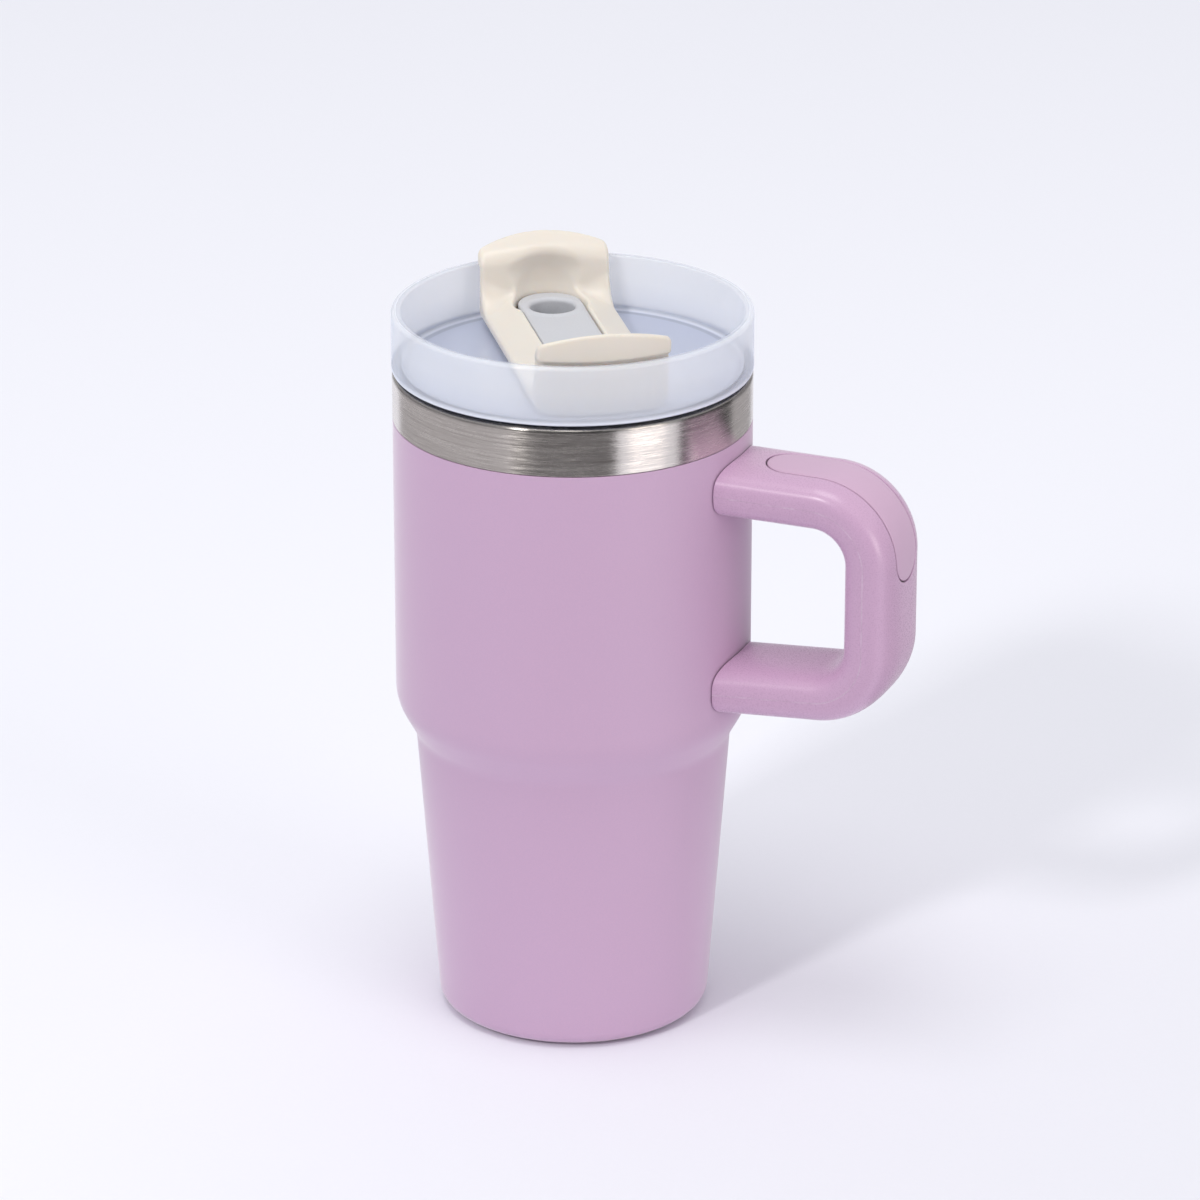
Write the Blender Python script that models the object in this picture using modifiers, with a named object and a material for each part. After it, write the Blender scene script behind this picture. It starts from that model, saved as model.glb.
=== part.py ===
"""Insulated tumbler with a side handle and a push-fit lid with a turning cover.

Metres, +Z up. The origin is the middle of the base, on the plane that the tumbler stands on.
The cup's axis is Z and the handle reaches out along +X.
"""

import math

import bmesh
import bpy
from mathutils import Matrix, Vector

# Fits and fineness
GAP = 0.0003
SHEET = 0.0006
ROUND_STEPS = 48
SMALL_STEPS = 16
ARC_STEP = math.radians(22.5)
SMALL_ARC_STEP = math.radians(45)
SMALL_ROUND = 0.002
PATH_STEP = math.radians(10)
MERGE = 0.00001
PAST = 0.004
SHARP_ANGLE = math.radians(32)

# Cup
CUP_RADIUS = 0.0444
RIM_Z = 0.1689
LIP_RADIUS = 0.0014
PAINT_Z = 0.157
SHOULDER_Z = 0.0833
SHOULDER_ROUND = 0.012
WAIST_Z = 0.0744
WAIST_RADIUS = 0.03945
WAIST_ROUND = 0.005
FOOT_RADIUS = 0.03395
FOOT_Z = 0.0006
FOOT_ROUND = 0.0035
FOOT_OPENING = 0.030
VACUUM = 0.0026
FLOOR_Z = 0.0112
FLOOR_ROUND = 0.007
MOUTH_RADIUS = 0.0415
MOUTH_LOW_Z = 0.1645
MOUTH_TAPER_Z = 0.154

# Closed bottom
END_PLATE_Z = 0.0068
END_PLATE_FLANGE = 0.0036
DIMPLE_RADIUS = 0.004
DIMPLE_RISE = 0.0014
EXHAUST_RADIUS = 0.0012
BEAD_RADIUS = 0.0031
BEAD_HEIGHT = 0.0012
BEAD_ROUND = 0.001
GETTER_RADIUS = 0.004
GETTER_HEIGHT = 0.0014
GETTER_X = 0.014
CLIP_HALF_LENGTH = 0.0075
CLIP_HALF_WIDTH = 0.0025
CLIP_SHEET = 0.0004
BASE_FLANGE = 0.0026

# Handle
HANDLE_HALF_WIDTH = 0.0133
HANDLE_HALF_DEPTH = 0.00675
HANDLE_SQUARENESS = 3
SECTION_STEPS = 14
CAVITY_HALF_WIDTH = 0.009
CAVITY_HALF_DEPTH = 0.0036
CAVITY_ROUND = 0.0025
UPPER_ARM_Z = 0.146
LOWER_ARM_Z = 0.094
LOWER_ARM_ROOT_X = 0.043
LOWER_ARM_RISE = math.radians(4.5)
GRIP_X = 0.0816
UPPER_BEND = 0.0143
LOWER_BEND = 0.0138
ARM_START_X = 0.041
PAD_HALF_WIDTH = 0.0065
PAD_DEPTH = 0.0012
PAD_START_X = 0.052
PAD_END_Z = 0.1268
PAD_END_STATIONS = 8
PAD_CROWN_SHARES = (-1, -0.5, 0, 0.5, 1)

# Handle fixings, in a frame on each arm's centre line with Z out of the loop
FIXING_X = 0.058
TONGUE_HALF_WIDTH = 0.007
TONGUE_HALF_DEPTH = 0.0022
TONGUE_BACK = 0.0135
TONGUE_FRONT = 0.0065
TONGUE_FOOT_HALF_WIDTH = 0.0078
TONGUE_FOOT_HALF_DEPTH = 0.0029
TONGUE_FOOT_BACK = 0.0155
TONGUE_FOOT_FRONT = 0.0115
SEAT_HALF_LENGTH = 0.006
SEAT_HALF_WIDTH = 0.0098
SEAT_LOW = 0.0025
SEAT_HIGH = 0.0044
SCREW_RADIUS = 0.0016
SCREW_HEAD_RADIUS = 0.0034
SCREW_HEAD_LOW = 0.0036
SCREW_HEAD_HIGH = 0.0050
SCREW_TIP = -0.0052
SCREW_HOLE_RADIUS = 0.0021
SCREW_POCKET_RADIUS = 0.0038
SCREW_HOLE_END = -0.0057
SCREW_EDGE_ROUND = 0.0005
SOCKET_RADIUS = 0.0015
SOCKET_DEPTH = 0.0009
SOCKET_SIDES = 6
PLUG_LOW = 0.0054
PLUG_HIGH = 0.0065

# Lid
LID_RADIUS = 0.0445
LID_TOP_Z = 0.1845
LID_WALL_RADIUS = 0.0421
LID_EDGE_ROUND = 0.0008
DECK_Z = 0.170
DECK_SHEET = 0.002
FLANGE_RADIUS = 0.041
SKIRT_OUTER = 0.039
SKIRT_INNER = 0.037
SKIRT_END_Z = 0.158
GROOVE_RADIUS = 0.0379
GROOVE_HIGH_Z = 0.1656
GROOVE_LOW_Z = 0.1604
GASKET_LIP_RADIUS = 0.0408
GASKET_LIP_DROP = 0.0012
GASKET_LIP_EDGE = 0.0005
PIVOT_HOLE_RADIUS = 0.0049
DRINK_HOLE_RADIUS = 0.006

# Turning cover, in a frame on the lid's axis with X towards the straw hole
COVER_TURN = math.radians(125)
COVER_REACH = 0.041
COVER_LOW_Z = 0.1704
ARM_TOP_Z = 0.1774
ARM_EDGE_Z = 0.1744
TAB_HALF_WIDTH = 0.0165
TAB_FACE_X = 0.0335
TAB_FACE_ROUND = 0.001
TAB_CREASE_Z = 0.1890
TAB_CREASE_ROUND = 0.0015
TAB_OUTER_Z = 0.1920
TAB_CROWN_Z = 0.1917
TAB_CORNER_Z = 0.1887
TAB_CORNER_ROUND = 0.0035
TAB_LIP_Z = 0.1848
TAB_FOOT_RADIUS = 0.0393
CROWN_STEPS = 12
SLOT_HALF_WIDTH = 0.00815
SLOT_END_X = 0.0366
POCKET_TOP_Z = 0.1862
POCKET_SPRING_Z = 0.1820
STRAW_X = 0.0253
STRAW_RADIUS = 0.0056
SEAL_TOP_Z = 0.1765
SEAL_LOW_Z = 0.17035
SEAL_END_FLAT = 0.00001
BRIDGE_HALF_LENGTH = 0.010
BRIDGE_HALF_WIDTH = 0.0092
BRIDGE_TOP_Z = 0.1724
BOSS_RADIUS = 0.0045
BOSS_END_Z = 0.1662
PEG_RADIUS = 0.0012
PEG_SIDES = 12
PEG_Y = 0.0115
PEG_END_Z = 0.1694
STOP_FLOOR_Z = 0.1691
STOP_MARGIN = math.radians(9)
COVER_TRAVEL = math.radians(180)

# Pivot under the deck
RING_RADIUS = 0.0059
RING_CORD = 0.00075
RING_SIDES = 8
RETAINER_RADIUS = 0.008
RETAINER_HEIGHT = 0.002
PIVOT_SCREW_RADIUS = 0.0013
PIVOT_PILOT_RADIUS = 0.0016
PIVOT_HEAD_RADIUS = 0.003
PIVOT_HEAD_HEIGHT = 0.0016
PIVOT_SCREW_TOP_Z = 0.171
PIVOT_PILOT_TOP_Z = 0.1714

UPRIGHT = Matrix.Rotation(math.pi / 2, 4, "X")
ACROSS = Matrix.Rotation(math.pi / 2, 4, "Z") @ UPRIGHT


def collection(name):
    """A new collection in the scene."""
    made = bpy.data.collections.new(name)
    bpy.context.scene.collection.children.link(made)
    return made


def material(name, colour, roughness, metallic=0.0, alpha=1.0):
    """A Principled material with one colour, roughness and metallic value."""
    made = bpy.data.materials.new(name)
    made.use_nodes = True
    shader = made.node_tree.nodes["Principled BSDF"]
    shader.inputs["Base Color"].default_value = (*colour, 1.0)
    shader.inputs["Roughness"].default_value = roughness
    shader.inputs["Metallic"].default_value = metallic
    shader.inputs["Alpha"].default_value = alpha
    return made


def rounded(corners, closed=True, arc_step=ARC_STEP):
    """The outline through (x, y, radius) corners, with an arc of that radius at each."""
    points = []
    count = len(corners)
    for index, (x, y, radius) in enumerate(corners):
        corner = Vector((x, y))
        at_end = not closed and index in (0, count - 1)
        if radius == 0 or at_end:
            points.append((x, y))
            continue
        before = (Vector(corners[index - 1][:2]) - corner).normalized()
        after = (Vector(corners[(index + 1) % count][:2]) - corner).normalized()
        half = before.angle(after) / 2
        centre = corner + (before + after).normalized() * (radius / math.sin(half))
        start = corner + before * (radius / math.tan(half)) - centre
        end = corner + after * (radius / math.tan(half)) - centre
        sweep = start.angle_signed(end)
        step = SMALL_ARC_STEP if radius < SMALL_ROUND else arc_step
        steps = max(1, round(abs(sweep) / step))
        for k in range(steps + 1):
            turned_by = Matrix.Rotation(-sweep * k / steps, 2)
            points.append(tuple(centre + turned_by @ start))
    return points


def add(name, data, look, parent=None, place=Matrix()):
    """A visible sub-part, in its parent's frame."""
    made = bpy.data.objects.new(name, data)
    PARTS.objects.link(made)
    made.parent = parent
    made.matrix_basis = place
    if look is not None:
        data.materials.clear()
        data.materials.append(look)
    bpy.context.view_layer.update()
    return made


def helper(made):
    """Turns an object into a cutter or a guide, which isn't a sub-part."""
    PARTS.objects.unlink(made)
    HELPERS.objects.link(made)
    made.hide_render = True
    made.display_type = "WIRE"
    return made


def smooth(mesh):
    """Shades a mesh smooth, with its real edges kept sharp."""
    mesh.shade_smooth()
    mesh.set_sharp_from_angle(angle=SHARP_ANGLE)


def turned(name, outline, look=None, parent=None, place=Matrix(), steps=ROUND_STEPS):
    """A turned solid from an (r, z) outline that runs clockwise, or from axis to axis."""
    mesh = bpy.data.meshes.new(name)
    on_axis = outline[0][0] == 0 and outline[-1][0] == 0
    count = len(outline)
    edges = [(k, (k + 1) % count) for k in range(count - 1 if on_axis else count)]
    mesh.from_pydata([(r, 0, z) for r, z in outline], edges, [])
    made = add(name, mesh, look, parent, place)
    screw = made.modifiers.new("turn", "SCREW")
    screw.steps = steps
    screw.render_steps = steps
    screw.use_merge_vertices = True
    screw.merge_threshold = MERGE
    screw.use_smooth_shade = True
    return made


def flat_curve(name, outlines, closed=True):
    """A curve object in its own XY plane."""
    data = bpy.data.curves.new(name, "CURVE")
    data.dimensions = "2D"
    for outline in outlines:
        spline = data.splines.new("POLY")
        spline.points.add(len(outline) - 1)
        for point, (x, y) in zip(spline.points, outline):
            point.co = (x, y, 0, 1)
        spline.use_cyclic_u = closed
    made = bpy.data.objects.new(name, data)
    PARTS.objects.link(made)
    return made


def as_mesh(curve, look, parent, place):
    """The curve's solid as a mesh object with welded caps; the curve is removed."""
    bpy.context.view_layer.update()
    graph = bpy.context.evaluated_depsgraph_get()
    mesh = bpy.data.meshes.new_from_object(curve.evaluated_get(graph))
    name = curve.name
    old = curve.data
    bpy.data.objects.remove(curve)
    bpy.data.curves.remove(old)
    cage = bmesh.new()
    cage.from_mesh(mesh)
    bmesh.ops.remove_doubles(cage, verts=cage.verts, dist=MERGE)
    bmesh.ops.recalc_face_normals(cage, faces=cage.faces)
    cage.to_mesh(mesh)
    cage.free()
    mesh.name = name
    smooth(mesh)
    return add(name, mesh, look, parent, place)


def extruded(name, outlines, low, high, look=None, parent=None, stand=Matrix()):
    """Flat outlines given thickness from low to high along their own normal, then stood up."""
    curve = flat_curve(name, outlines)
    curve.data.fill_mode = "BOTH"
    curve.data.extrude = (high - low) / 2
    place = stand @ Matrix.Translation((0, 0, (low + high) / 2))
    return as_mesh(curve, look, parent, place)


def swept(name, path, section, look=None):
    """A closed section carried along a path in the XZ plane, with filled ends."""
    guide = flat_curve(name + "_section", [section])
    curve = flat_curve(name, [path], closed=False)
    curve.data.fill_mode = "NONE"
    curve.data.bevel_mode = "OBJECT"
    curve.data.bevel_object = guide
    curve.data.use_fill_caps = True
    made = as_mesh(curve, look, None, UPRIGHT)
    bpy.data.objects.remove(guide)
    return made


def box(name, low, high, look=None, parent=None):
    """A box between two corners."""
    cage = bmesh.new()
    size = Vector(high) - Vector(low)
    middle = (Vector(high) + Vector(low)) / 2
    bmesh.ops.create_cube(cage, size=1)
    bmesh.ops.scale(cage, vec=size, verts=cage.verts)
    bmesh.ops.translate(cage, vec=middle, verts=cage.verts)
    mesh = bpy.data.meshes.new(name)
    cage.to_mesh(mesh)
    cage.free()
    return add(name, mesh, look, parent)


def cylinder(name, radius, low, high, centre=(0, 0), parent=None, steps=SMALL_STEPS):
    """A cutter's cylinder along Z."""
    cage = bmesh.new()
    middle = Matrix.Translation((centre[0], centre[1], (low + high) / 2))
    bmesh.ops.create_cone(
        cage, cap_ends=True, segments=steps, radius1=radius, radius2=radius, depth=high - low, matrix=middle
    )
    mesh = bpy.data.meshes.new(name)
    cage.to_mesh(mesh)
    cage.free()
    return helper(add(name, mesh, None, parent))


def combine(made, other, operation):
    """Cuts, joins or intersects a sub-part with a helper."""
    if other.name not in HELPERS.objects:
        helper(other)
    change = made.modifiers.new(other.name, "BOOLEAN")
    change.operation = operation
    change.object = other
    change.solver = "EXACT"


def frame(name, place):
    """An empty that carries the pieces of one arm or of the turning cover."""
    made = bpy.data.objects.new(name, None)
    PARTS.objects.link(made)
    made.matrix_basis = place
    return made


def moved(outline, outward):
    """A copy of (r, z, round) corners with every radius changed by the same amount."""
    return [(r + outward, z, rounding) for r, z, rounding in outline]


def wall_corners():
    """The outside of the painted wall, top to bottom."""
    return [
        (CUP_RADIUS, PAINT_Z - GAP, 0),
        (CUP_RADIUS, SHOULDER_Z, SHOULDER_ROUND),
        (WAIST_RADIUS, WAIST_Z, WAIST_ROUND),
        (FOOT_RADIUS, FOOT_Z, FOOT_ROUND),
        (FOOT_OPENING, FOOT_Z, 0),
    ]


def outer_shell():
    """Painted sheet wall with a shoulder and a turned-in foot."""
    outside = wall_corners()
    inside = moved(outside[:4], -SHEET)
    inside[3] = (FOOT_RADIUS - SHEET, FOOT_Z + SHEET, FOOT_ROUND - SHEET)
    inside.append((FOOT_OPENING, FOOT_Z + SHEET, 0))
    turned("outer_shell", rounded(outside + inside[::-1]), PAINT)


def inner_liner():
    """Bare sheet cup, rolled over at the lip and down the outside as a band."""
    inset = VACUUM + 2 * SHEET
    slope = (WAIST_RADIUS - FOOT_RADIUS) / (WAIST_Z - FOOT_Z)
    floor_radius = FOOT_RADIUS + slope * (FLOOR_Z - FOOT_Z) - inset
    lift = inset / 2
    wall = [
        (floor_radius, FLOOR_Z, FLOOR_ROUND),
        (WAIST_RADIUS - inset, WAIST_Z + lift, WAIST_ROUND),
        (CUP_RADIUS - inset, SHOULDER_Z + lift, SHOULDER_ROUND),
        (CUP_RADIUS - inset, MOUTH_TAPER_Z, 0),
        (MOUTH_RADIUS, MOUTH_LOW_Z, 0),
    ]
    hidden = moved(wall, SHEET)
    hidden[0] = (floor_radius + SHEET, FLOOR_Z - SHEET, FLOOR_ROUND + SHEET)
    inner_roll = LIP_RADIUS - SHEET
    lip = [
        (MOUTH_RADIUS, RIM_Z, LIP_RADIUS),
        (CUP_RADIUS, RIM_Z, LIP_RADIUS),
        (CUP_RADIUS, PAINT_Z, 0),
        (CUP_RADIUS - SHEET, PAINT_Z, 0),
        (CUP_RADIUS - SHEET, RIM_Z - SHEET, inner_roll),
        (MOUTH_RADIUS + SHEET, RIM_Z - SHEET, inner_roll),
    ]
    floor = [(0, FLOOR_Z, 0)]
    under = [(0, FLOOR_Z - SHEET, 0)]
    turned("inner_liner", rounded(floor + wall + lip + hidden[::-1] + under, closed=False), STEEL)


def closed_bottom():
    """The vacuum end plate, its glass bead, the getter on its clip, and the plate underneath."""
    edge = FOOT_RADIUS - SHEET - GAP
    low = END_PLATE_Z - SHEET
    top = [
        (EXHAUST_RADIUS, END_PLATE_Z + DIMPLE_RISE, 0),
        (DIMPLE_RADIUS, END_PLATE_Z + DIMPLE_RISE, 0),
        (DIMPLE_RADIUS + DIMPLE_RISE, END_PLATE_Z, 0),
        (edge, END_PLATE_Z, 2 * SHEET),
        (edge, END_PLATE_Z - END_PLATE_FLANGE, 0),
    ]
    under = [
        (edge - SHEET, END_PLATE_Z - END_PLATE_FLANGE, 0),
        (edge - SHEET, low, SHEET),
        (DIMPLE_RADIUS + DIMPLE_RISE - SHEET / 2, low, 0),
        (DIMPLE_RADIUS - SHEET / 2, low + DIMPLE_RISE, 0),
        (EXHAUST_RADIUS, low + DIMPLE_RISE, 0),
    ]
    turned("vacuum_bottom", rounded(top + under), STEEL)

    bead_top = low + DIMPLE_RISE - GAP
    bead = [
        (0, bead_top, 0),
        (BEAD_RADIUS, bead_top, 0),
        (BEAD_RADIUS, bead_top - BEAD_HEIGHT, BEAD_ROUND),
        (0, bead_top - BEAD_HEIGHT, 0),
    ]
    turned("glass_seal", rounded(bead, closed=False), GLASS, steps=SMALL_STEPS)

    getter_top = FLOOR_Z - SHEET - GAP
    getter_low = getter_top - GETTER_HEIGHT
    pill = [
        (0, getter_top, 0),
        (GETTER_RADIUS, getter_top, GAP),
        (GETTER_RADIUS, getter_low, GAP),
        (0, getter_low, 0),
    ]
    place = Matrix.Translation((GETTER_X, 0, 0))
    turned("getter", rounded(pill, closed=False), GETTER, place=place, steps=SMALL_STEPS)

    strap_top = getter_low - GAP
    strap_low = strap_top - CLIP_SHEET
    riser = GETTER_RADIUS + GAP
    half = [
        (CLIP_HALF_LENGTH, getter_top),
        (CLIP_HALF_LENGTH, getter_top - CLIP_SHEET),
        (riser + CLIP_SHEET, getter_top - CLIP_SHEET),
        (riser + CLIP_SHEET, strap_low),
    ]
    inner = [(riser, strap_top), (riser, getter_top)]
    outline = half + [(-x, z) for x, z in half[::-1]]
    outline += [(-x, z) for x, z in inner[::-1]] + inner
    outline = [(x + GETTER_X, z) for x, z in outline]
    extruded("getter_clip", [outline], -CLIP_HALF_WIDTH, CLIP_HALF_WIDTH, STEEL, stand=UPRIGHT)

    rim = FOOT_OPENING - GAP
    dish = [
        (0, SHEET, 0),
        (rim - SHEET, SHEET, SHEET / 2),
        (rim - SHEET, BASE_FLANGE, 0),
        (rim, BASE_FLANGE, 0),
        (rim, 0, SHEET),
        (0, 0, 0),
    ]
    turned("base_cover", rounded(dish, closed=False), STEEL)


def handle_path():
    """The handle's centre line in the XZ plane, from the upper arm round to the lower arm."""
    rise = math.tan(LOWER_ARM_RISE)
    corners = [
        (ARM_START_X, UPPER_ARM_Z, 0),
        (GRIP_X, UPPER_ARM_Z, UPPER_BEND),
        (GRIP_X, LOWER_ARM_Z + (GRIP_X - LOWER_ARM_ROOT_X) * rise, LOWER_BEND),
        (ARM_START_X, LOWER_ARM_Z + (ARM_START_X - LOWER_ARM_ROOT_X) * rise, 0),
    ]
    return rounded(corners, closed=False, arc_step=PATH_STEP)


def section_depth(across):
    """Depth of the handle's skin on a squared ellipse, where |depth / D|^n + |across / A|^n = 1."""
    share = 1 - abs(across / HANDLE_HALF_WIDTH) ** HANDLE_SQUARENESS
    return HANDLE_HALF_DEPTH * share ** (1 / HANDLE_SQUARENESS)


def half_section(side):
    """One half of the hollow handle's section. Side -1 is the outside of the loop, 1 the inside."""
    seam = GAP / 2
    skin = [(seam, HANDLE_HALF_WIDTH, 0)]
    for k in range(1, SECTION_STEPS):
        reach = math.cos(math.pi * k / SECTION_STEPS)
        across = math.copysign(HANDLE_HALF_WIDTH * abs(reach) ** (2 / HANDLE_SQUARENESS), reach)
        skin.append((section_depth(across), across, 0))
    skin.append((seam, -HANDLE_HALF_WIDTH, 0))
    cavity = [
        (seam, -CAVITY_HALF_WIDTH, 0),
        (CAVITY_HALF_DEPTH, -CAVITY_HALF_WIDTH, CAVITY_ROUND),
        (CAVITY_HALF_DEPTH, CAVITY_HALF_WIDTH, CAVITY_ROUND),
        (seam, CAVITY_HALF_WIDTH, 0),
    ]
    return [(side * depth, across) for depth, across in rounded(skin + cavity)]


def pad_station(length, half_width, ends):
    """(point, outward normal, half width) of the pad at a length measured from the upper bend's start."""
    up, out = Vector((0, 0, 1)), Vector((1, 0, 0))
    centre = Vector((GRIP_X - UPPER_BEND, 0, UPPER_ARM_Z - UPPER_BEND))
    turn = min(max(length / UPPER_BEND, 0), math.pi / 2)
    normal = up * math.cos(turn) + out * math.sin(turn)
    before = min(length, 0)
    after = max(length - UPPER_BEND * math.pi / 2, 0)
    point = centre + normal * UPPER_BEND + out * before - up * after
    from_end = min(1, (length - ends[0]) / half_width, (ends[1] - length) / half_width)
    width = half_width * math.sqrt(1 - (1 - from_end) ** 2)
    return point, normal, max(width, GAP / 2)


def pad_stations(grow):
    """Stations along the pad, closer together at its two round ends."""
    quarter = UPPER_BEND * math.pi / 2
    start = PAD_START_X - (GRIP_X - UPPER_BEND) - grow
    end = quarter + (UPPER_ARM_Z - UPPER_BEND - PAD_END_Z) + grow
    half_width = PAD_HALF_WIDTH + grow
    bend_steps = round(math.pi / 2 / PATH_STEP)
    lengths = [quarter * k / bend_steps for k in range(bend_steps + 1)]
    lengths = [length for length in lengths if start + half_width < length < end - half_width]
    for k in range(PAD_END_STATIONS + 1):
        inward = half_width * (1 - math.cos(math.pi / 2 * k / PAD_END_STATIONS))
        lengths += [start + inward, end - inward]
    return [pad_station(length, half_width, (start, end)) for length in sorted(lengths)]


def pad_strip(name, grow, low, proud, look=None):
    """A strip that follows the handle's crowned outside, lofted because its ends are round."""
    cage = bmesh.new()
    rings = []
    for point, normal, width in pad_stations(grow):
        crown = [width * share for share in PAD_CROWN_SHARES]
        sides = [(low, -width)] + [(section_depth(y) + proud, y) for y in crown] + [(low, width)]
        rings.append([cage.verts.new(point + normal * h + Vector((0, y, 0))) for h, y in sides])
    count = len(rings[0])
    for first, second in zip(rings, rings[1:]):
        for k in range(count):
            near = (k + 1) % count
            cage.faces.new((first[k], first[near], second[near], second[k]))
    cage.faces.new(rings[0])
    cage.faces.new(rings[-1])
    bmesh.ops.recalc_face_normals(cage, faces=cage.faces)
    mesh = bpy.data.meshes.new(name)
    cage.to_mesh(mesh)
    cage.free()
    smooth(mesh)
    return add(name, mesh, look)


def screw(name, radius, tip, head, parent):
    """A screw along Z with a hexagon socket. Head is (radius, side next to the shank, free side)."""
    head_radius, head_low, head_high = head
    sign = 1 if head_high > tip else -1
    corners = [
        (0, head_high, 0),
        (head_radius, head_high, SCREW_EDGE_ROUND),
        (head_radius, head_low, 0),
        (radius, head_low, 0),
        (radius, tip, SCREW_EDGE_ROUND),
        (0, tip, 0),
    ]
    if sign < 0:
        corners.reverse()
    made = turned(name, rounded(corners, closed=False), STEEL, parent, steps=SMALL_STEPS)
    ends = sorted((head_high - sign * SOCKET_DEPTH, head_high + sign * PAST))
    socket = cylinder(name + "_socket", SOCKET_RADIUS, *ends, parent=parent, steps=SOCKET_SIDES)
    combine(made, socket, "DIFFERENCE")


def handle():
    """Two moulded halves round a welded bracket in each arm, with a soft inlay on top."""
    path = handle_path()
    outer = swept("handle_outer_half", path, half_section(-1), MOULDED)
    inner = swept("handle_inner_half", path, half_section(1), MOULDED)
    cup = cylinder("cup_clearance", CUP_RADIUS + GAP, 0, RIM_Z, steps=2 * ROUND_STEPS)

    upper = frame("upper_arm", Matrix.Translation((FIXING_X, 0, UPPER_ARM_Z)))
    drop = math.tan(LOWER_ARM_RISE) * (FIXING_X - LOWER_ARM_ROOT_X)
    tilt = Matrix.Rotation(-LOWER_ARM_RISE, 4, "Y") @ Matrix.Rotation(math.pi, 4, "X")
    lower = frame("lower_arm", Matrix.Translation((FIXING_X, 0, LOWER_ARM_Z + drop)) @ tilt)

    for name, arm in (("upper", upper), ("lower", lower)):
        seat_low = (-SEAT_HALF_LENGTH, -SEAT_HALF_WIDTH, SEAT_LOW)
        seat_high = (SEAT_HALF_LENGTH, SEAT_HALF_WIDTH, SEAT_HIGH)
        combine(outer, box(name + "_head_seat", seat_low, seat_high, parent=arm), "UNION")
        boss_low = (-SEAT_HALF_LENGTH, -SEAT_HALF_WIDTH, -SEAT_HIGH)
        boss_high = (SEAT_HALF_LENGTH, SEAT_HALF_WIDTH, -SEAT_LOW)
        combine(inner, box(name + "_thread_boss", boss_low, boss_high, parent=arm), "UNION")
        bracket(name + "_bracket", arm, cup)
        head = (SCREW_HEAD_RADIUS, SCREW_HEAD_LOW, SCREW_HEAD_HIGH)
        screw(name + "_screw", SCREW_RADIUS, SCREW_TIP, head, arm)
        hole = cylinder(name + "_screw_hole", SCREW_HOLE_RADIUS, SCREW_HOLE_END, SCREW_HEAD_HIGH, parent=arm)
        pocket = cylinder(
            name + "_pocket", SCREW_POCKET_RADIUS, SCREW_HEAD_LOW - GAP, HANDLE_HALF_DEPTH + PAST, parent=arm
        )
        for half in (outer, inner):
            combine(half, hole, "DIFFERENCE")
        combine(outer, pocket, "DIFFERENCE")
    for half in (outer, inner):
        combine(half, cup, "DIFFERENCE")

    floor = HANDLE_HALF_DEPTH - PAD_DEPTH
    recess = pad_strip("pad_recess", GAP, floor - GAP, PAST)
    combine(outer, recess, "DIFFERENCE")
    pad_strip("grip_pad", 0, floor, 0, SOFT)

    radius = SCREW_POCKET_RADIUS - GAP
    plug = [(0, PLUG_HIGH, 0), (radius, PLUG_HIGH, GAP), (radius, PLUG_LOW, 0), (0, PLUG_LOW, 0)]
    turned("lower_screw_plug", rounded(plug, closed=False), SOFT, lower, steps=SMALL_STEPS)


def bracket(name, arm, cup):
    """A steel tongue with a screw hole and a foot that follows the cup."""
    tongue = [
        (-TONGUE_BACK, -TONGUE_HALF_WIDTH, 0),
        (TONGUE_FRONT, -TONGUE_HALF_WIDTH, SCREW_HOLE_RADIUS),
        (TONGUE_FRONT, TONGUE_HALF_WIDTH, SCREW_HOLE_RADIUS),
        (-TONGUE_BACK, TONGUE_HALF_WIDTH, 0),
    ]
    turns = [math.tau * k / SMALL_STEPS for k in range(SMALL_STEPS)]
    hole = [(SCREW_HOLE_RADIUS * math.cos(a), SCREW_HOLE_RADIUS * math.sin(a)) for a in turns]
    made = extruded(name, [rounded(tongue), hole], -TONGUE_HALF_DEPTH, TONGUE_HALF_DEPTH, STEEL, arm)
    foot_low = (-TONGUE_FOOT_BACK, -TONGUE_FOOT_HALF_WIDTH, -TONGUE_FOOT_HALF_DEPTH)
    foot_high = (-TONGUE_FOOT_FRONT, TONGUE_FOOT_HALF_WIDTH, TONGUE_FOOT_HALF_DEPTH)
    combine(made, box(name + "_foot", foot_low, foot_high, parent=arm), "UNION")
    combine(made, cup, "DIFFERENCE")


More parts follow.
